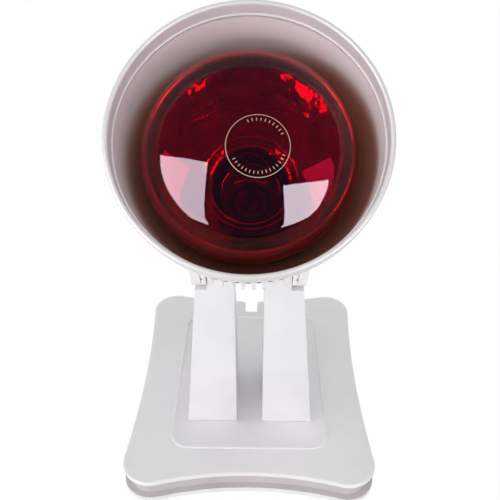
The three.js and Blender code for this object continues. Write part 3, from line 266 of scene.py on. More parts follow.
def makeFloor():
    # A pale sheet that keeps the shadow and lifts to white for the camera, gloss and glass
    clearSelection()
    bpy.ops.mesh.primitive_plane_add(size=studio["floorSize"], location=(0, 0, 0))
    floor = bpy.context.object
    floor.name = "floor"
    material, tree, shader, place = newMaterial("pale studio paper")
    setColours(tree, shader, place, *studio["floorColours"], studio["floorPatch"])
    shader.inputs["Roughness"].default_value = studio["floorRoughness"]
    rays = addNode(tree, "LightPath").outputs
    split = addNode(tree, "SeparateXYZ", {0: place})
    front, rear = studio["floorSweep"]
    sweep = addNode(tree, "MapRange", {
        "Value": split.outputs["Y"], "From Min": front, "From Max": rear, "To Min": studio["floorDim"]})
    level = addNode(tree, "Math", {"operation": "MAXIMUM", 0: sweep, 1: rays["Is Camera Ray"]})
    glow = addNode(tree, "Emission", {"Color": (1, 1, 1, 1), "Strength": level})
    seen = addNode(tree, "Math", {"operation": "MAXIMUM", 0: rays["Is Camera Ray"], 1: rays["Is Glossy Ray"]})
    seen = addNode(tree, "Math", {"operation": "MAXIMUM", 0: seen, 1: rays["Is Transmission Ray"]})
    lift = addNode(tree, "Math", {"operation": "MULTIPLY", 0: seen, 1: studio["floorLift"]})
    mix = addNode(tree, "MixShader", {0: lift, 1: shader, 2: glow})
    output = next(node for node in tree.nodes if node.type == "OUTPUT_MATERIAL")
    tree.links.new(mix.outputs[0], output.inputs["Surface"])
    floor.data.materials.append(material)


def makeWorld():
    # Even fill for the surfaces and white for the camera.
    # Gloss and glass see a dim room with a white sweep behind.
    world = bpy.data.worlds.new("studio")
    bpy.context.scene.world = world
    world.use_nodes = True
    tree = world.node_tree
    tree.nodes.clear()
    fill = addNode(tree, "Background", {"Color": toLinear(studio["fillColour"]), "Strength": studio["fill"]})
    around = addNode(tree, "TexCoord").outputs["Generated"]
    split = addNode(tree, "SeparateXYZ", {0: around})
    low, high = studio["roomSweep"]
    sweep = addNode(tree, "MapRange", {"Value": split.outputs["Y"], "From Min": low, "From Max": high})
    rays = addNode(tree, "LightPath").outputs
    glass = addNode(tree, "Math", {
        "operation": "MULTIPLY", 0: rays["Is Transmission Ray"], 1: studio["roomThroughGlass"]})
    level = addNode(tree, "Math", {"operation": "MAXIMUM", 0: sweep, 1: rays["Is Camera Ray"]})
    level = addNode(tree, "Math", {"operation": "MAXIMUM", 0: level, 1: glass})
    room = addNode(tree, "ValToRGB", {"Fac": level})
    room.color_ramp.elements[0].color = toLinear(studio["roomColour"])
    room.color_ramp.elements[1].color = (1, 1, 1, 1)
    white = addNode(tree, "Background", {"Color": room, "Strength": 1})
    mix = addNode(tree, "MixShader", {0: rays["Is Diffuse Ray"], 1: white, 2: fill})
    addNode(tree, "OutputWorld", {"Surface": mix})


def makeBoxLight(name, heading, side, wide, tall, watts, sees, away=1.2, colour="#FFFFFF"):
    # A soft box that looks at the middle of the shade and shows in one kind of ray alone
    light = bpy.data.lights.new(name, "AREA")
    light.shape = "RECTANGLE"
    light.size = wide
    light.size_y = tall
    light.energy = watts
    light.color = toLinear(colour)[:3]
    lamp = bpy.data.objects.new(name, light)
    bpy.context.scene.collection.objects.link(lamp)
    back = Vector(heading).normalized()
    across = (Vector(side) - back * Vector(side).dot(back)).normalized()
    upward = back.cross(across)
    lamp.matrix_world = Matrix.Translation(Vector(studio["target"]) * mm + back * away) @ Matrix(
        (across, upward, back)).transposed().to_4x4()
    lamp.visible_camera = False
    lamp.visible_diffuse = sees == "surface"
    lamp.visible_glossy = sees == "gloss"
    lamp.visible_transmission = sees == "glass"


makeFloor()
makeWorld()
for name, box in studio["boxes"].items():
    makeBoxLight(name, **box)
bpy.context.scene.view_settings.view_transform = "Standard"
print("studio made")

# What each CAD node that stays is made of
nodeFinishes = {
    "white_shell": whiteAbs,
    "base_grey": grainedAbs,
    "dark_rubber": rubber,
    "black_switch": blackNylon,
    "zinc_steel": zincSteel,
    "ballast_steel": rolledSteel,
    "brass": brass,
    "porcelain": porcelain,
    "red_glass": rubyGlass,
    "clear_glass": clearGlass,
    "reflector": mirrorCoat,
    "tungsten": tungsten,
    "insulation": insulation,
}
for name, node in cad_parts.items():
    slotName = next(s for s in nodeFinishes if node.material_slots[0].name.split(".")[0].startswith(s))
    node.material_slots[0].material = nodeFinishes[slotName]
print("nodes dressed")

# Where the stand and the shade sit, as the CAD has them
standPlace = Matrix.Translation(Vector((0, 5.3238, 0)) * mm)
pivot = Vector((0, -33.8762, 161.5))
pivotInShade = Vector((0, -57.5, -86.8))
headPlace = (
    Matrix.Translation(pivot * mm) @ Matrix.Rotation(math.radians(45), 4, "X")
    @ Matrix.Translation(-pivotInShade * mm))


def pick(piece):
    clearSelection()
    piece.select_set(True)
    bpy.context.view_layer.objects.active = piece


def putDown(piece, place):
    # The piece goes to its place and the place goes into its mesh
    pick(piece)
    piece.matrix_world = place @ piece.matrix_world
    bpy.ops.object.transform_apply()


def finishPiece(piece, place, body, slot, material, *nodes, smooth=40):
    # Place, smooth shading, material and what it rides on and stands for
    if place is not None:
        putDown(piece, place)
    pick(piece)
    bpy.ops.object.shade_smooth_by_angle(angle=math.radians(smooth))
    piece.data.materials.clear()
    piece.data.materials.append(material)
    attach(piece, body)
    if nodes:
        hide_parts(*nodes)


def startPoint(name, point):
    # A plane drawn together to one corner, ready to be extruded along a line
    clearSelection()
    bpy.ops.mesh.primitive_plane_add(size=mm, location=(0, 0, 0))
    piece = bpy.context.object
    piece.name = name
    bpy.ops.object.mode_set(mode="EDIT")
    bpy.ops.mesh.select_all(action="SELECT")
    bpy.ops.mesh.merge(type="CENTER")
    bpy.ops.transform.translate(value=Vector(point) * mm)
    return piece


def drawTo(points):
    # Extrudes the last corner from each point to the next
    for before, after in zip(points, points[1:]):
        step = (Vector(after) - Vector(before)) * mm
        bpy.ops.mesh.extrude_vertices_move(TRANSFORM_OT_translate={"value": step})


# Corners closer than this become one, in mm
weldGap = {"spun": 0.02, "outline": 0.01, "copy": 0.002, "wire": 0.001}


def cleanMesh(gap):
    bpy.ops.mesh.select_all(action="SELECT")
    bpy.ops.mesh.remove_doubles(threshold=gap * mm)
    bpy.ops.mesh.normals_make_consistent(inside=False)


def spunPiece(name, profile, steps=96):
    # A closed profile of radius and setback, spun about the axis of the shade
    points = [(radius, 0, -setback) for radius, setback in profile]
    piece = startPoint(name, points[0])
    drawTo(points)
    bpy.ops.mesh.select_all(action="SELECT")
    bpy.ops.mesh.spin(steps=steps, angle=2 * math.pi, center=(0, 0, 0), axis=(0, 0, 1))
    cleanMesh(weldGap["spun"])
    bpy.ops.object.mode_set(mode="OBJECT")
    return piece


def smoothLine(points, steps):
    # A Catmull-Rom line through the points
    line = []
    for i in range(len(points) - 1):
        p0, p1 = points[max(i - 1, 0)], points[i]
        p2, p3 = points[i + 1], points[min(i + 2, len(points) - 1)]
        for k in range(steps):
            t = k / steps
            line.append(tuple(
                0.5 * (2 * b + (c - a) * t + (2 * a - 5 * b + 4 * c - d) * t ** 2
                       + (3 * b - a - 3 * c + d) * t ** 3)
                for a, b, c, d in zip(p0, p1, p2, p3)))
    return line + [tuple(points[-1])]


def arcLine(centre, radius, start, end, steps):
    # Points on an arc, angles in degrees
    angles = [math.radians(start + (end - start) * i / steps) for i in range(steps + 1)]
    return [(centre[0] + radius * math.cos(a), centre[1] + radius * math.sin(a)) for a in angles]


def offsetLine(line, distance):
    # The line moved sideways, towards the axis where it runs from front to back
    moved = []
    for i, point in enumerate(line):
        before, after = line[max(i - 1, 0)], line[min(i + 1, len(line) - 1)]
        along = Vector((after[0] - before[0], after[1] - before[1])).normalized()
        moved.append((point[0] - along.y * distance, point[1] + along.x * distance))
    return moved


def addModifier(piece, kind, **settings):
    # Adds a modifier with its settings and applies it
    pick(piece)
    modifier = piece.modifiers.new(kind.lower(), kind)
    for key, value in settings.items():
        setattr(modifier, key, value)
    bpy.ops.object.modifier_apply(modifier=modifier.name)


def combine(piece, other, operation="DIFFERENCE"):
    # Cuts or joins with another piece, which is used up
    addModifier(piece, "BOOLEAN", object=other, operation=operation, solver="EXACT")
    bpy.data.objects.remove(other)


def roundEdges(piece, width, segments=2, angle=50):
    addModifier(
        piece, "BEVEL", width=width * mm, segments=segments, limit_method="ANGLE",
        angle_limit=math.radians(angle))


def softCopy(nodeName, width, angle, flatAngle=0.4):
    # A copy of a CAD node with merged faces and rounded edges
    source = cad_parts[nodeName]
    piece = source.copy()
    piece.data = source.data.copy()
    bpy.context.scene.collection.objects.link(piece)
    piece.name = nodeName + "_soft"
    pick(piece)
    bpy.ops.object.mode_set(mode="EDIT")
    bpy.ops.mesh.select_all(action="SELECT")
    bpy.ops.mesh.remove_doubles(threshold=weldGap["copy"] * mm)
    bpy.ops.mesh.dissolve_limited(angle_limit=math.radians(flatAngle))
    bpy.ops.object.mode_set(mode="OBJECT")
    roundEdges(piece, width, segments=3, angle=angle)
    return piece


# Front ring of the shade: rolled lip, straight inside and a thin ledge
ringLook = {
    "radius": 76.8,
    "thickness": 2.9,
    "depth": 12,
    "lip": 1.3,
    "ledgeSetback": 9.6,
    "ledgeThickness": 1.1,
    "ledgeReach": 0.9,
    "ledgeEdge": 0.3,
    "ledgeSlope": 0.2,
    "shadeInset": 3.6,
    "lipSteps": 5,
    "steps": 160,
}


def makeRing():
    look = ringLook
    lip, edge, front = look["lip"], look["ledgeEdge"], look["ledgeSetback"]
    inner = look["radius"] - look["thickness"]
    outerLip = arcLine((look["radius"] - lip, lip), lip, -90, 0, look["lipSteps"])
    innerLip = arcLine((inner + lip, lip), lip, 180, 270, look["lipSteps"])
    ledge = inner - look["ledgeReach"]
    rear = front + look["ledgeThickness"]
    profile = innerLip + outerLip + [
        (look["radius"], look["depth"]),
        (look["radius"] - look["shadeInset"], look["depth"]),
        (ledge + look["ledgeSlope"], rear),
        (ledge, rear - edge),
        (ledge, front + edge),
        (ledge + edge, front),
        (inner, front),
        innerLip[0],
    ]
    ring = spunPiece("shade_rim", profile, look["steps"])
    # The ring takes the darker copy of the ABS, which is painted shade
    finishPiece(ring, headPlace, "head", "white_shell", ringShadedAbs, "front_ring")


makeRing()
print("front ring made")

# Shade: the same stations as the CAD, drawn smooth, with ears, ribs and slots
shadeLook = {
    "wall": 2.4,
    "stations": [
        (75.6, 12.3), (74.5, 35.15), (69.5, 50.35), (63.51, 59.85), (56.52, 70.3), (51, 76.95),
        (46, 85.03), (41.01, 95),
    ],
    "lineSteps": 6,
    "steps": 160,
    "collarRadius": 38.2,
    "collarEnd": 104,
    "housingRoom": 41.3,
    "cavity": (8, 99),
    "cavitySkin": 0.01,
    "facing": 0.2,
    "innerSkin": 0.5,
    "edge": 0.5,
}


def shadeOutside():
    return smoothLine(shadeLook["stations"], shadeLook["lineSteps"])


def shadeRadiusAt(setback):
    line = shadeOutside()
    for (r0, s0), (r1, s1) in zip(line, line[1:]):
        if s1 >= setback:
            return r0 + (r1 - r0) * (setback - s0) / (s1 - s0)
    return line[-1][0]


def makeShell():
    look = shadeLook
    outside = shadeOutside()
    inside = offsetLine(outside, look["wall"])
    collarInner = look["collarRadius"] - look["wall"]
    profile = outside + [
        (look["collarRadius"], outside[-1][1]),
        (look["collarRadius"], look["collarEnd"]),
        (collarInner, look["collarEnd"]),
        (collarInner, inside[-1][1]),
    ] + inside[::-1] + [outside[0]]
    return spunPiece("shade_shell", profile, look["steps"])


def boxPiece(name, low, high):
    # A box between two corners, in mm
    clearSelection()
    low, high = Vector(low), Vector(high)
    bpy.ops.mesh.primitive_cube_add(size=mm, location=(low + high) / 2 * mm)
    piece = bpy.context.object
    piece.name = name
    piece.scale = high - low
    bpy.ops.object.transform_apply()
    return piece


def rodPiece(name, radius, start, end, vertices=48):
    # A round rod between two points, in mm
    clearSelection()
    start, end = Vector(start), Vector(end)
    bpy.ops.mesh.primitive_cylinder_add(
        vertices=vertices, radius=radius * mm, depth=(end - start).length * mm, location=(start + end) / 2 * mm)
    piece = bpy.context.object
    piece.name = name
    piece.rotation_euler = (end - start).to_track_quat("Z", "Y").to_euler()
    bpy.ops.object.transform_apply()
    return piece


def slabPiece(name, outline, direction):
    # A flat closed outline of points filled and pushed out along a direction, in mm
    piece = startPoint(name, outline[0])
    drawTo(outline + [outline[0]])
    bpy.ops.mesh.select_all(action="SELECT")
    bpy.ops.mesh.remove_doubles(threshold=weldGap["outline"] * mm)
    bpy.ops.mesh.edge_face_add()
    bpy.ops.mesh.extrude_region_move(TRANSFORM_OT_translate={"value": Vector(direction) * mm})
    bpy.ops.mesh.select_all(action="SELECT")
    bpy.ops.mesh.normals_make_consistent(inside=False)
    bpy.ops.object.mode_set(mode="OBJECT")
    return piece


earLook = {
    "inner": 27.5,
    "outer": 36.7,
    "lobe": 11.5,
    "groove": 30.7,
    "grooveWidth": 0.5,
    "nick": (10.6, 13.6, 16.6),
    "nickReach": 2,
    "grooveStart": 2,
    "grooveDepth": 2,
    "bore": 6,
    "boreDepth": 3.2,
    "boreSpare": 2,
    "pinHole": 2.8,
    "pinSides": 24,
    "lobeSteps": 24,
    "frontSetback": 50,
    "frontDrop": 58,
    "kneeSetback": 64.5,
    "kneeDrop": 62.8,
    "rearSetback": 100,
    "rearDrop": 45,
    "rootDrop": 24,
}


def touchPoint(centre, radius, point, side):
    # Angle in degrees where a line from the point touches the circle
    offset = Vector((point[0] - centre[0], point[1] - centre[1]))
    return math.degrees(math.atan2(offset.y, offset.x) + side * math.acos(radius / offset.length))


def makeEar(side):
    # Thick plate with its lobe, in the frame of the shade, and the middle line of its bore
    look = earLook
    centre = (pivotInShade.y, pivotInShade.z)
    knee = (-look["kneeDrop"], -look["kneeSetback"])
    rear = (-look["rearDrop"], -look["rearSetback"])
    start = touchPoint(centre, look["lobe"], knee, 1)
    end = touchPoint(centre, look["lobe"], rear, -1)
    end += 360 if end < start else 0
    outline = [
        (-look["rootDrop"], -look["frontSetback"]),
        (-look["frontDrop"], -look["frontSetback"]),
        knee,
        *arcLine(centre, look["lobe"], start, end, look["lobeSteps"]),
        rear,
        (-look["rootDrop"], -shadeLook["stations"][-1][1]),
    ]
    points = [(side * look["inner"], y, z) for y, z in outline]
    ear = slabPiece("ear", points, (side * (look["outer"] - look["inner"]), 0, 0))
    along = (
        look["inner"] - look["boreSpare"], look["outer"] - look["boreDepth"], look["outer"] + look["boreSpare"])
    return ear, [(side * x, *centre) for x in along]


def earGroove(side):
    # The thin parting line from the knee of an ear to its lobe, with a small nick in it
    look = earLook
    knee = Vector((-look["kneeDrop"], -look["kneeSetback"]))
    turn = math.radians(touchPoint(pivotInShade.yz, look["lobe"], knee, 1))
    touch = pivotInShade.yz + Vector((math.cos(turn), math.sin(turn))) * look["lobe"]
    along = (touch - knee).normalized()
    outward = Vector((along.y, -along.x))
    top = knee + along * look["grooveStart"]
    deep = outward * -look["grooveDepth"]
    x = side * (look["groove"] + look["grooveWidth"] / 2)
    line = [(x, *p) for p in (top + outward, touch + outward, touch + deep, top + deep)]
    groove = slabPiece("groove", line, (-side * look["grooveWidth"], 0, 0))
    start, middle, stop = (knee + along * step + outward for step in look["nick"])
    line = [(x, *start), (x - side * look["nickReach"], *middle), (x, *stop)]
    nick = slabPiece("nick", line, (0, *(deep - outward)))
    return [groove, nick]


def shadeCavity():
    # The room inside the shade, to keep the ears out of it
    front, rear = shadeLook["cavity"]
    inside = offsetLine(shadeOutside(), shadeLook["wall"] - shadeLook["cavitySkin"])
    profile = [(0, front), (inside[0][0], front), *inside, (inside[-1][0], rear), (0, rear)]
    return spunPiece("cavity", profile, shadeLook["steps"])


ribLook = {
    "width": 2.1,
    "pitch": 6,
    "count": 8,
    "line": ((15, 0.8), (24, 0.9), (31, 1), (34, 2), (37, 3.6), (43, 3.6), (50, 3.6)),
    "root": 1.2,
    "edge": 0.3,
    "slotFront": 17,
    "slotRear": 30,
    "slotDepth": 1.7,
    "slotWidth": 2.4,
    "slotSkin": 0.05,
    "out": 80,
    "reach": 22,
}


def heightAt(x, radius):
    # How far a circle round the axis of the shade reaches at that distance to the side
    return math.sqrt(radius ** 2 - x ** 2)


def makeRibs():
    # Ribs along the underside of the shade, and the slots between them
    look = ribLook
    ribs, slots = [], []
    for i in range(look["count"]):
        x = (i - (look["count"] - 1) / 2) * look["pitch"]
        side = x - look["width"] / 2
        outline = [(side, look["root"] - heightAt(x, shadeRadiusAt(s)), -s) for s, proud in look["line"]]
        outline += [(side, -heightAt(x, shadeRadiusAt(s) + proud), -s) for s, proud in look["line"][::-1]]
        rib = slabPiece("rib", outline, (look["width"], 0, 0))
        roundEdges(rib, look["edge"])
        ribs.append(rib)
        if i:
            middle, half = x - look["pitch"] / 2, look["slotWidth"] / 2
            floor = heightAt(middle, shadeRadiusAt(look["slotFront"])) - look["slotDepth"]
            slots.append(boxPiece(
                "slot", (middle - half, -look["out"], -look["slotRear"]),
                (middle + half, -floor, -look["slotFront"])))
    return ribs, slots


def makeShade():
    look, ribs = shadeLook, ribLook
    shade = makeShell()
    cavity = shadeCavity()
    housingRoom = rodPiece(
        "room", look["housingRoom"], (0, 0, -look["collarEnd"]), (0, 0, -look["stations"][-1][1]), vertices=96)
    ears, holes = [], []
    for side in (-1, 1):
        ear, (innerEnd, boreEnd, outerEnd) = makeEar(side)
        ears.append(ear)
        holes.append(rodPiece("bore", earLook["bore"], boreEnd, outerEnd))
        holes.append(rodPiece("pin", earLook["pinHole"], innerEnd, outerEnd, earLook["pinSides"]))
        holes += earGroove(side)
    combine(ears[0], ears[1], "UNION")
    for other in (cavity, housingRoom):
        combine(ears[0], other)
    combine(shade, ears[0], "UNION")
    for hole in holes:
        combine(shade, hole)
    roundEdges(shade, look["edge"])
    # Ribs and slots come after the bevel, which would tear their small faces
    made, slots = makeRibs()
    for rib in made:
        combine(shade, rib, "UNION")
    for slot in slots:
        combine(shade, slot)
    finishPiece(shade, headPlace, "head", "white_shell", heatAbs, "shade", smooth=35)
    shade.data.materials.append(paintedWallShade)
    shade.data.materials.append(paintedGrooveShade)
    toShade = headPlace.inverted()
    for face in shade.data.polygons:
        centre = toShade @ face.center / mm
        normal = toShade.to_3x3() @ face.normal
        radius, setback = math.hypot(centre.x, centre.y), -centre.z
        inward = -normal.x * centre.x - normal.y * centre.y
        wall = shadeRadiusAt(setback) - look["wall"]
        # Faces in the grooves under the ring take the painted groove shade (material 2)
        inSlot = (
            centre.y < 0 and abs(centre.x) < ribs["reach"]
            and ribs["slotFront"] <= round(setback, 2) <= ribs["slotRear"]
            and wall < radius < wall + look["wall"] - ribs["slotSkin"])
        # Inward faces of the inner wall take the painted red-brown shade (material 1)
        onWall = inward > look["facing"] * radius and radius < wall + look["innerSkin"]
        if inSlot or onWall:
            face.material_index = 2 if inSlot else 1


# Inner wall of the same plastic with painted shade: red-brown deep behind the rim, where little light reaches
# and what does comes red through the bulb
wallShadeLook = {
    "colours": ("#F2F0F0", "#D6B7AC", "#B87E68"),
    "start": 24,
    "end": 40,
    "rise": 14,
    "risePower": 3,
    "lean": 0.06,
    "cloudSize": 30,
    "cloudDepth": 4,
    "roughness": (0.34, 0.48),
    "grain": (1.4, 0.012, 0.5),
}


def makeWallShade(name, look):
    # Painted shade grows with depth behind the rim; it starts later at the top, which gets more light, and
    # sooner on the right, away from the light
    material, tree, shader, around = newMaterial(name)
    place = addNode(tree, "Mapping", {
        "vector_type": "TEXTURE", "Vector": around, "Location": headPlace.translation,
        "Rotation": headPlace.to_euler()})
    split = addNode(tree, "SeparateXYZ", {0: place}).outputs
    height = addNode(tree, "MapRange", {"Value": split["Y"], "From Max": shadeLook["stations"][0][0] * mm})
    rise = addNode(tree, "Math", {"operation": "POWER", 0: height, 1: look["risePower"]})
    depth = addNode(tree, "Math", {
        "operation": "MULTIPLY_ADD", 0: rise, 1: look["rise"] * mm, 2: split["Z"]})
    noise = addNode(tree, "TexNoise", {
        "Vector": around, "Scale": perMetre(look["cloudSize"]), "Detail": patternLook["driftDetail"]})
    cloud = addNode(tree, "Math", {
        "operation": "MULTIPLY_ADD", 0: noise, 1: look["cloudDepth"] * mm, 2: depth})
    cloud = addNode(tree, "Math", {"operation": "MULTIPLY_ADD", 0: split["X"], 1: -look["lean"], 2: cloud})
    share = addNode(tree, "MapRange", {
        "interpolation_type": "SMOOTHSTEP", "Value": cloud,
        "From Min": -look["start"] * mm, "From Max": -look["end"] * mm})
    ramp = addNode(tree, "ValToRGB", {"Fac": share})
    ramp.color_ramp.elements.new(0.5)
    for stop, colour in zip(ramp.color_ramp.elements, look["colours"]):
        stop.color = toLinear(colour)
    tree.links.new(ramp.outputs["Color"], shader.inputs["Base Color"])
    setRoughness(tree, shader, around, *look["roughness"], plasticLook["dullPatch"])
    setGrain(tree, shader, around, *look["grain"])
    return material


paintedWallShade = makeWallShade("heat-resistant plastic, painted red-brown shade", wallShadeLook)
# The same plastic in the narrow grooves under the ring, painted dark brown: painted shade in the grooves
paintedGrooveShade = moulded("heat-resistant plastic, painted groove shade", "#4A3832", "#5C4840", (0.6, 0.8), 0.8, 0.03)
makeShade()
print("shade made")

# Base: drawn-in outline, rolled lip, raised line, sunk panel and cord notch
baseLook = {
    "width": 180,
    "depth": 205.6,
    "corner": 20,
    "sideSag": 3.9,
    "frontSag": 9,
    "rearSag": 7.9,
    "flangeTop": 5.5,
    "lipBottom": 17.9,
    "top": 21.8,
    "edge": 1.6,
    "wall": 2.4,
    "hollowBottom": 10,
    "notchWidth": 11,
    "notchEnd": 79.4,
    "notchCorner": 4.5,
    "notchSpare": 3,
    "cut": {"top": (5, 25), "tray": (-1, 25)},
    "panel": (-58, 58, -72, 72.4),
    "panelCorner": 13,
    "panelSink": 0.5,
    "panelRoom": 3,
    "panelEdge": 0.3,
    "ridge": 2,
    "ridgeRoot": 1,
    "ridgeHeight": 0.8,
    "ridgeEdge": 0.6,
}
# Block behind the notch that holds the cord bush, and the sleeve along the notch
outletLook = {
    "half": 10,
    "depth": 8,
    "bottom": 6.3,
    "overlap": 0.3,
    "sleeveHalf": 7.9,
    "sleeveEnd": 103,
    "within": (15, 23),
    "drop": 7.7,
    "bore": 4.9,
    "boreLine": (65, 85),
    "flare": 8.9,
    "flareDepth": 4,
}


def baseOutline(inset, steps=14):
    # Rounded rectangle whose sides bow inwards, moved in by an inset
    look = baseLook
    x = look["width"] / 2 - look["corner"]
    y = look["depth"] / 2 - look["corner"]
    sides = []
    for half, sag, away, out in (
            (x, look["frontSag"], y, (0, -1)), (y, look["sideSag"], x, (1, 0)),
            (x, look["rearSag"], y, (0, 1)), (y, look["sideSag"], x, (-1, 0))):
        reach = (half ** 2 + sag ** 2) / (2 * sag)
        sides.append((reach, Vector(out) * (away - sag + reach)))
    corners = [Vector((a * x, b * y)) for a, b in ((-1, -1), (1, -1), (1, 1), (-1, 1))]
    bearing = lambda start, end: math.degrees(math.atan2(end.y - start.y, end.x - start.x))
    line = []
    for i, corner in enumerate(corners):
        before, after = sides[i - 1], sides[i]
        nextCorner = corners[(i + 1) % 4]
        turnIn, turnOut = bearing(corner, before[1]), bearing(corner, after[1])
        turnOut += 360 if turnOut < turnIn else 0
        line += arcLine(corner, look["corner"] - inset, turnIn, turnOut, steps)
        bowIn, bowOut = bearing(after[1], corner), bearing(after[1], nextCorner)
        bowOut -= 360 if bowOut > bowIn else 0
        line += arcLine(after[1], after[0] - look["corner"] + inset, bowIn, bowOut, 2 * steps)[1:-1]
    return line


def roundedOutline(x0, x1, y0, y1, radius, steps=10):
    line = []
    for cx, cy, start in (
            (x0 + radius, y0 + radius, 180), (x1 - radius, y0 + radius, 270),
            (x1 - radius, y1 - radius, 0), (x0 + radius, y1 - radius, 90)):
        line += arcLine((cx, cy), radius, start, start + 90, steps)
    return line


def flatSlab(name, outline, low, high):
    return slabPiece(name, [(x, y, low) for x, y in outline], (0, 0, high - low))


def panelSlab(name, offset, low, high):
    x0, x1, y0, y1 = baseLook["panel"]
    line = roundedOutline(
        x0 - offset, x1 + offset, y0 - offset, y1 + offset, baseLook["panelCorner"] + offset)
    return flatSlab(name, line, low, high)


def notchSlab(part):
    # What the cord notch takes from the top or the tray
    look = baseLook
    half, corner = look["notchWidth"] / 2, look["notchCorner"]
    rear = look["depth"] / 2 - look["rearSag"]
    line = [(-half, look["notchEnd"]), (half, look["notchEnd"])]
    line += arcLine((half + corner, rear - corner), corner, 180, 90, steps=6)
    line += [(x, rear + look["notchSpare"]) for x in (half + corner, -half - corner)]
    line += arcLine((-half - corner, rear - corner), corner, 90, 0, steps=6)
    return flatSlab("notch", line, *look["cut"][part])


def makeBaseCover():
    look, outlet = baseLook, outletLook
    top = look["top"]
    cover = flatSlab("base_top", baseOutline(0), look["lipBottom"], top)
    roundEdges(cover, look["edge"], segments=4, angle=60)
    combine(cover, flatSlab(
        "hollow", baseOutline(look["wall"]), look["hollowBottom"], top - look["wall"]))
    half = look["ridge"] / 2
    ridge = panelSlab("ridge", half, top - look["ridgeRoot"], top + look["ridgeHeight"])
    roundEdges(ridge, look["ridgeEdge"], segments=4, angle=60)
    combine(cover, ridge, "UNION")
    sunk = panelSlab("sunk", -half, top - look["panelSink"], top + look["panelRoom"])
    roundEdges(sunk, look["panelEdge"], segments=2, angle=60)
    combine(cover, sunk)
    blockTop = top - look["wall"] + outlet["overlap"]
    blockFront = look["notchEnd"] - outlet["depth"]
    combine(cover, boxPiece(
        "outlet", (-outlet["half"], blockFront, outlet["bottom"]),
        (outlet["half"], look["notchEnd"], blockTop)), "UNION")
    sleeve = boxPiece(
        "sleeve", (-outlet["sleeveHalf"], blockFront, look["lipBottom"]),
        (outlet["sleeveHalf"], outlet["sleeveEnd"], blockTop))
    combine(sleeve, flatSlab("within", baseOutline(outlet["overlap"]), *outlet["within"]), "INTERSECT")
    combine(cover, sleeve, "UNION")
    combine(cover, notchSlab("top"))
    height = top - outlet["drop"]
    front, rear = outlet["boreLine"]
    combine(cover, rodPiece("bush_hole", outlet["bore"], (0, front, height), (0, rear, height)))
    clearSelection()
    bpy.ops.mesh.primitive_cone_add(
        vertices=48, radius1=outlet["flare"] * mm, radius2=outlet["bore"] * mm, depth=outlet["flareDepth"] * mm,
        location=(0, look["notchEnd"] * mm, height * mm), rotation=(math.radians(90), 0, 0))
    flare = bpy.context.object
    bpy.ops.object.transform_apply()
    combine(cover, flare)
    finishPiece(cover, standPlace, "stand", "base_grey", grainedAbs, "base_cover", smooth=35)


makeBaseCover()
print("base top made")


def makeSoftCopies():
    # CAD solids whose shape stays, with the small edge radius of a real moulding
    for nodeName, width, slot, material, angle in softCopies:
        piece = softCopy(nodeName, width, angle)
        if nodeName == "base_bottom":
            notch = notchSlab("tray")
            notch.matrix_world = standPlace
            combine(piece, notch)
        body = "rocker" if nodeName == "switch_rocker" else "stand"
        finishPiece(piece, None, body, slot, material, nodeName, smooth=35)
        if nodeName == "base_bottom":
            # The tray above its flange takes the darker ABS, painted shade under the lip
            piece.data.materials.append(paintedLipShade)
            for face in piece.data.polygons:
                if face.center.z > baseLook["flangeTop"] * mm:
                    face.material_index = 1


# The white ABS in the groove under the lip, darker: painted shade where the lip keeps the light off
paintedLipShade = moulded("white ABS, painted shade under the lip", "#C2BDBC", "#CAC5C4", (0.45, 0.6), 0.9, 0.02)
softCopies = [
    ("base_bottom", 0.6, "white_shell", whiteAbs, 60),
    ("pillar_left", 0.7, "white_shell", whiteAbs, 30),
    ("pillar_right", 0.7, "white_shell", whiteAbs, 30),
    ("pillar_back_left", 0.3, "white_shell", whiteAbs, 30),
    ("pillar_back_right", 0.3, "white_shell", whiteAbs, 30),
    ("switch_body", 0.4, "black_switch", blackNylon, 30),
    ("switch_rocker", 0.5, "black_switch", blackNylon, 30),
]
makeSoftCopies()
print("stand copies made")

# Rear housing: slips over the collar, tapers to a round end with air slots
housingLook = {
    "frontRadius": 41,
    "frontSetback": 95.3,
    "sideRadius": 33.4,
    "sideSetback": 186,
    "endSetback": 200,
    "endFlat": 20,
    "wall": 2.4,
    "seatRadius": 38.5,
    "seatSetback": 104.3,
    "frontEdge": 0.6,
    "endStep": 9,
    "bossX": 22.5,
    "boss": (3.4, 192.3, 198.5),
    "bossBore": (1.8, 190, 198.3),
    "vents": 12,
    "ventReach": (9, 23),
    "ventSetback": (192.6, 203),
    "ventWidth": 2.6,
    "ventEdge": 1.2,
    "screws": 3,
    "screwSetback": 99.5,
    "screwSeats": ((1.8, 30), (3.3, 40.05)),
    "seatEnd": 44,
    "edge": 0.3,
    "steps": 128,
}


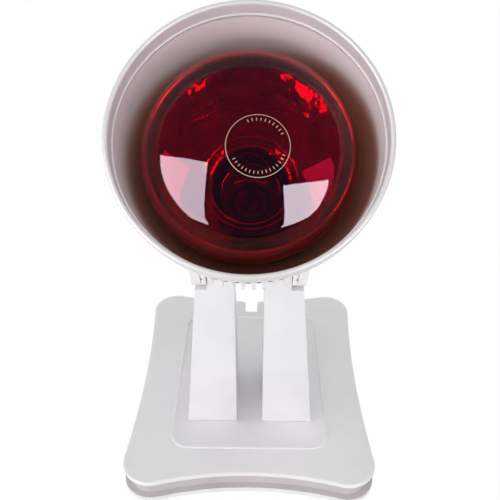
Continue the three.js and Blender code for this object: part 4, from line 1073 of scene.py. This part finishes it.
def makeHousing():
    look = housingLook
    wall, flat, sideEnd = look["wall"], look["endFlat"], look["sideSetback"]
    side = [(look["frontRadius"], look["frontSetback"] + look["frontEdge"]), (look["sideRadius"], sideEnd)]
    end = [
        (flat + (look["sideRadius"] - flat) * math.cos(math.radians(a)),
         sideEnd + (look["endSetback"] - sideEnd) * math.sin(math.radians(a)))
        for a in range(look["endStep"], 91, look["endStep"])]
    outside = [(look["frontRadius"] - look["frontEdge"], look["frontSetback"])] + side + end
    outside.append((0, look["endSetback"]))
    inside = [(look["seatRadius"], look["frontSetback"]), (look["seatRadius"], look["seatSetback"])]
    inside.append((look["sideRadius"] - wall, sideEnd))
    inside += [(r - wall, s - wall) for r, s in end[2:]]
    inside.append((0, look["endSetback"] - wall))
    shell = spunPiece("rear_shell", outside + inside[::-1] + outside[:1], look["steps"])
    for x in (-look["bossX"], look["bossX"]):
        for (radius, front, rear), sides, operation in (
                (look["boss"], 32, "UNION"), (look["bossBore"], 24, "DIFFERENCE")):
            combine(shell, rodPiece("boss", radius, (x, 0, -front), (x, 0, -rear), sides), operation)
    slots = []
    for i in range(look["vents"]):
        (near, far), (front, rear), half = look["ventReach"], look["ventSetback"], look["ventWidth"] / 2
        slot = boxPiece("vent", (near, -half, -rear), (far, half, -front))
        roundEdges(slot, look["ventEdge"], segments=3, angle=60)
        slot.rotation_euler.z = 2 * math.pi * (i + 0.5) / look["vents"]
        pick(slot)
        bpy.ops.object.transform_apply(location=False, rotation=True, scale=False)
        slots.append(slot)
    for i in range(look["screws"]):
        turn = Matrix.Rotation(2 * math.pi * i / look["screws"], 3, "Z")
        for radius, near in look["screwSeats"]:
            ends = (turn @ Vector((0, y, -look["screwSetback"])) for y in (near, look["seatEnd"]))
            combine(shell, rodPiece("seat", radius, *ends, vertices=32))
    roundEdges(shell, look["edge"])
    # The vents come after the bevel, which would tear their edges
    for slot in slots:
        combine(shell, slot)
    finishPiece(shell, headPlace, "head", "white_shell", whiteAbs, "rear_housing", smooth=35)


makeHousing()
print("rear housing made")

# Bulb: blown ruby envelope, mirror coat, stem, filament and threaded cap, as radius and setback
bulbLook = {
    "face": 5.5,
    "domeRadius": 130,
    "radius": 63.5,
    "shoulderRadius": 24,
    "domeSteps": 16,
    "shoulderSteps": 20,
    "coneSteps": 5,
    "wall": 1.3,
    "cone": [(61.8, 47), (57.2, 58), (50.2, 69), (38.6, 84), (27.6, 98), (24.4, 106)],
    "neck": [(22.3, 118), (21.2, 134), (19.5, 150), (15.2, 154.5), (12.5, 157), (12.5, 163)],
    "coat": (25, 124),
    "coatGap": 0.15,
    "coatWall": 0.25,
    "frontBead": 0.9,
    "beads": ((90, 0.8), (96, 1.1), (116, 0.8), (121, 1)),
    "beadSteps": 8,
    "stem": [
        (0, 84), (1.6, 84.1), (2.4, 84.8), (3.2, 87), (4.2, 90), (4.2, 134), (5.2, 140), (9, 145.5),
        (15.6, 149.6), (15.4, 150), (0, 150)],
    "steps": 160,
}


def bulbLine():
    # Outside of the glass from the axis over the dome to the neck
    look = bulbLook
    dome, shoulder = look["domeRadius"], look["shoulderRadius"]
    middle = look["radius"] - shoulder
    turn = math.asin(middle / (dome - shoulder))
    widest = look["face"] + dome - (dome - shoulder) * math.cos(turn)
    line = []
    for i in range(look["domeSteps"] + 1):
        angle = turn * i / look["domeSteps"]
        line.append((dome * math.sin(angle), look["face"] + dome - dome * math.cos(angle)))
    for i in range(1, look["shoulderSteps"] + 1):
        angle = turn + (math.pi / 2 - turn) * i / look["shoulderSteps"]
        line.append((middle + shoulder * math.sin(angle), widest - shoulder * math.cos(angle)))
    return line + smoothLine([line[-1]] + look["cone"] + look["neck"], look["coneSteps"])[1:]


def makeEnvelope():
    outside = bulbLine()
    inside = offsetLine(outside, bulbLook["wall"])
    inside[0] = (0, bulbLook["face"] + bulbLook["wall"])
    glass = spunPiece("bulb_glass", outside + inside[::-1], bulbLook["steps"])
    finishPiece(glass, headPlace, "bulb", "red_glass", rubyGlass, "bulb_envelope", smooth=180)


def makeMirror():
    # Thin liner behind the face of the bulb, with a rolled front edge
    look = bulbLook
    start, stop = look["coat"]
    bead, steps = look["frontBead"], look["beadSteps"]
    liner = [
        point for point in offsetLine(bulbLine(), look["wall"] + look["coatGap"]) if start < point[1] <= stop]
    back = offsetLine(liner, look["coatWall"])
    roll = arcLine((liner[0][0] - bead, liner[0][1]), bead, 180, 360, steps)
    front = []
    for (r0, s0), (r1, s1) in zip(liner, liner[1:]):
        front.append((r0, s0))
        for setback, size in look["beads"]:
            # A pressed-in ring that stands out of the coat
            if s0 < setback <= s1:
                radius = r0 + (r1 - r0) * (setback - s0) / (s1 - s0)
                front += arcLine((radius, setback), size, 270, 90, steps)
    front.append(liner[-1])
    mirror = spunPiece("bulb_mirror", front + back[:0:-1] + roll, look["steps"])
    finishPiece(mirror, headPlace, "bulb", "reflector", mirrorCoat, "bulb_reflector", smooth=180)


def makeStem():
    # Flared tube with a flat press that holds the leads
    stem = spunPiece("bulb_tube", bulbLook["stem"], steps=48)
    finishPiece(stem, headPlace, "bulb", "clear_glass", clearGlass, "bulb_stem", smooth=60)


filamentLook = {
    "setback": 66,
    "ringRadius": 12,
    "coilRadius": 0.62,
    "wireRadius": 0.2,
    "turns": 46,
    "pointsPerTurn": 8,
    "sweep": 250,
}


def wirePiece(name, points, radius):
    # A thin round wire along points, in mm
    piece = startPoint(name, points[0])
    drawTo(points)
    bpy.ops.object.mode_set(mode="OBJECT")
    bpy.ops.object.convert(target="CURVE")
    piece.data.bevel_depth = radius * mm
    piece.data.bevel_resolution = 1
    piece.data.use_fill_caps = True
    bpy.ops.object.convert(target="MESH")
    bpy.ops.object.mode_set(mode="EDIT")
    cleanMesh(weldGap["wire"])
    bpy.ops.object.mode_set(mode="OBJECT")
    return piece


def makeFilament():
    look = filamentLook
    count = look["turns"] * look["pointsPerTurn"]
    points = []
    for i in range(count + 1):
        along = math.radians(look["sweep"] * (i / count - 0.5))
        turn = 2 * math.pi * i / look["pointsPerTurn"]
        radius = look["ringRadius"] + look["coilRadius"] * math.cos(turn)
        depth = -look["setback"] + look["coilRadius"] * math.sin(turn)
        points.append((radius * math.sin(along), radius * math.cos(along), depth))
    coil = wirePiece("bulb_coil", points, look["wireRadius"])
    finishPiece(coil, headPlace, "bulb", "tungsten", tungsten, "bulb_filament", smooth=60)


capLook = {
    "front": [(12.5, 157), (12.9, 157)],
    "pitch": 3.63,
    "threadRadius": 12.85,
    "threadDepth": 0.35,
    "threadStart": 157.5,
    "threadStep": 0.44,
    "threadSteps": 44,
    "rear": [(12.6, 177.5), (9.5, 180), (9.1, 180), (12.2, 177.2), (12.2, 157.6)],
}


def makeCap():
    # Rolled thread of the brass cap, drawn as rings with the thread's pitch
    look = capLook
    profile = look["front"][:]
    for i in range(1, look["threadSteps"] + 1):
        setback = look["threadStart"] + i * look["threadStep"]
        turn = 2 * math.pi * (setback - look["front"][0][1]) / look["pitch"]
        profile.append((look["threadRadius"] - look["threadDepth"] * math.cos(turn), setback))
    profile += look["rear"]
    cap = spunPiece("bulb_thread", profile + profile[:1], steps=72)
    finishPiece(cap, headPlace, "bulb", "brass", brass, "bulb_screw_cap", smooth=60)


# Ring and ticks printed on the face of the bulb
printLook = {
    "offset": (4.8, -4.4),
    "ring": 17.25,
    "line": 0.34,
    "lift": 0.04,
    "thickness": 0.06,
    "tickReach": (13.6, 15.4),
    "tickMiddle": 14.5,
    "tickWidth": 0.4,
    "tickHeight": (-0.08, 0.02),
    "arcs": ((-150, -20, 15), (28, 112, 9)),
}


def makePrint():
    look = printLook
    radius = bulbLook["domeRadius"]

    def drop(reach):
        # How far the face has fallen away at that distance from its middle
        return radius - math.sqrt((radius + look["lift"]) ** 2 - reach ** 2)

    inner, outer = look["ring"] - look["line"] / 2, look["ring"] + look["line"] / 2
    thick = look["thickness"]
    ring = spunPiece("face_print", [
        (inner, drop(inner)), (outer, drop(outer)), (outer, drop(outer) + thick), (inner, drop(inner) + thick),
        (inner, drop(inner))], steps=128)
    ticks = []
    (near, far), half = look["tickReach"], look["tickWidth"] / 2
    low, high = (height - drop(look["tickMiddle"]) for height in look["tickHeight"])
    for start, end, count in look["arcs"]:
        for i in range(count + 1):
            tick = boxPiece("tick", (near, -half, low), (far, half, high))
            tick.rotation_euler.z = math.radians(start + (end - start) * i / count)
            ticks.append(tick)
    pick(ring)
    for tick in ticks:
        tick.select_set(True)
    bpy.ops.object.join()
    tiltX, tiltY = (math.asin(value / radius) for value in look["offset"])
    place = (
        headPlace @ Matrix.Translation(Vector((0, 0, -bulbLook["face"] - radius)) * mm)
        @ Matrix.Rotation(tiltX, 4, "Y") @ Matrix.Rotation(-tiltY, 4, "X")
        @ Matrix.Translation(Vector((0, 0, radius)) * mm))
    finishPiece(ring, place, "bulb", "insulation", printInk, smooth=30)


# Baked enamel ink of the print, beige
printInk = moulded("baked beige ink", "#B79E82", "#C6AE92", (0.45, 0.6), 0.6, 0.01)
makeEnvelope()
makeMirror()
makeStem()
makeFilament()
makeCap()
makePrint()
print("bulb made")

# Small fittings: rubber feet, cord bush, hinge caps and screws
fittingLook = {
    "footLine": [(0, -0.5), (5.2, -0.5), (5.8, 0), (8.3, 0), (8.8, -0.3), (9, -0.9), (9, -2.4), (0, -2.4)],
    "bushLine": [
        (3.4, -70.2), (4.6, -70.2), (4.6, -75.4), (5.6, -76.2), (5.8, -76.6), (5.6, -77), (5, -77.2),
        (4.1, -77.1), (3.6, -76.8), (3.4, -76.3), (3.4, -70.2)],
    "bushHeight": 14.1,
    "capRadius": 5.6,
    "capDish": 0.35,
    "capEdge": 0.5,
    "capRim": (1.9, 1.5),
}
# Pan-headed screws: the head falls away from its middle, and each kind has its own thickness and turn
screwLook = {
    "radius": 1.5,
    "head": 3,
    "headLine": ((1.1, 0), (0.5, 0.12), (0.1, 0.4), (0, 0.75)),
    "tip": (0.7, 0.8),
    "recess": 0.75,
    "recessReach": 1.6,
    "recessDepth": 1,
    "above": 0.8,
    "baseHead": 1.9,
    "baseTurn": 37,
    "housingHead": 1.1,
    "housingTurn": 29,
}


def nodeBox(name):
    # Lowest and highest corner of a CAD node and its middle, in mm
    low, high = (Vector(corner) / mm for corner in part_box(name))
    return low, high, (low + high) / 2


def makeFeet():
    for side in ("front_left", "front_right", "rear_left", "rear_right"):
        middle = nodeBox("foot_" + side)[2]
        foot = spunPiece("rubber_foot_" + side, fittingLook["footLine"], steps=64)
        place = Matrix.Translation(Vector((middle.x, middle.y, 0)) * mm)
        finishPiece(foot, place, "stand", "dark_rubber", rubber, "foot_" + side, smooth=30)


def makeBush():
    bush = spunPiece("outlet_bush", fittingLook["bushLine"], steps=64)
    up = Matrix.Translation(Vector((0, 0, fittingLook["bushHeight"])) * mm)
    place = standPlace @ up @ Matrix.Rotation(math.radians(-90), 4, "X")
    finishPiece(bush, place, "stand", "dark_rubber", rubber, "cord_bush", smooth=50)


def makeCaps():
    look = fittingLook
    radius, dish, edge = look["capRadius"], look["capDish"], look["capEdge"]
    dishEdge, rimEdge = look["capRim"]
    for name, side in (("hinge_cap_right", 1), ("hinge_cap_left", -1)):
        low, high, middle = nodeBox(name)
        inner, outer = sorted((abs(low.x), abs(high.x)))
        line = [
            (0, dish - outer), (radius - dishEdge, dish - outer), (radius - rimEdge, -outer),
            (radius - edge, -outer), (radius, edge - outer), (radius, -inner), (0, -inner)]
        cap = spunPiece(name + "_dished", line, steps=64)
        place = Matrix.Translation(Vector((0, middle.y, middle.z)) * mm)
        place = place @ Matrix.Rotation(math.radians(90 * side), 4, "Y")
        finishPiece(cap, place, "head", "white_shell", whiteAbs, name, smooth=30)


def makeScrew(name, head, length):
    # Pan head with a cross recess, its face at zero looking down the Z axis
    look = screwLook
    wide, thin = look["head"], look["radius"]
    taper, rise = look["tip"]
    line = [(0, 0)] + [(wide - inset, -drop) for inset, drop in look["headLine"]]
    line += [(wide, -head), (thin, -head), (thin, rise - length), (thin - taper, -length), (0, -length)]
    piece = spunPiece(name, line, steps=48)
    half, reach, depth, above = look["recess"] / 2, look["recessReach"], look["recessDepth"], look["above"]
    cross = boxPiece("cross", (-reach, -half, -depth), (reach, half, above))
    combine(cross, boxPiece("bar", (-half, -reach, -depth), (half, reach, above)), "UNION")
    combine(piece, cross)
    return piece


def makeScrews():
    look = screwLook
    for number in (1, 2, 3, 4):
        name = f"base_screw_{number}"
        low, high, middle = nodeBox(name)
        piece = makeScrew(name + "_cross", look["baseHead"], high.z - low.z)
        turn = Matrix.Rotation(math.radians(look["baseTurn"] * number), 4, "Z")
        place = Matrix.Translation(Vector((middle.x, middle.y, low.z)) * mm) @ turn
        finishPiece(piece, place, "stand", "zinc_steel", zincSteel, name, smooth=30)
    toShade = headPlace.inverted()
    for number in (1, 2, 3):
        name = f"housing_screw_{number}"
        points = [toShade @ vertex.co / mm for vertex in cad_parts[name].data.vertices]
        middle = sum(points, Vector()) / len(points)
        face = max(point.xy.dot(middle.xy.normalized()) for point in points)
        length = face - min(math.hypot(point.x, point.y) for point in points)
        piece = makeScrew(name + "_cross", look["housingHead"], length)
        around = Matrix.Rotation(math.atan2(-middle.x, middle.y), 4, "Z")
        out = Matrix.Translation(Vector((0, face, -housingLook["screwSetback"])) * mm)
        turn = Matrix.Rotation(math.radians(look["housingTurn"] * number), 4, "Z")
        place = headPlace @ around @ out @ Matrix.Rotation(math.radians(90), 4, "X") @ turn
        finishPiece(piece, place, "head", "zinc_steel", zincSteel, name, smooth=30)


makeFeet()
makeBush()
makeCaps()
makeScrews()
print("small fittings made")
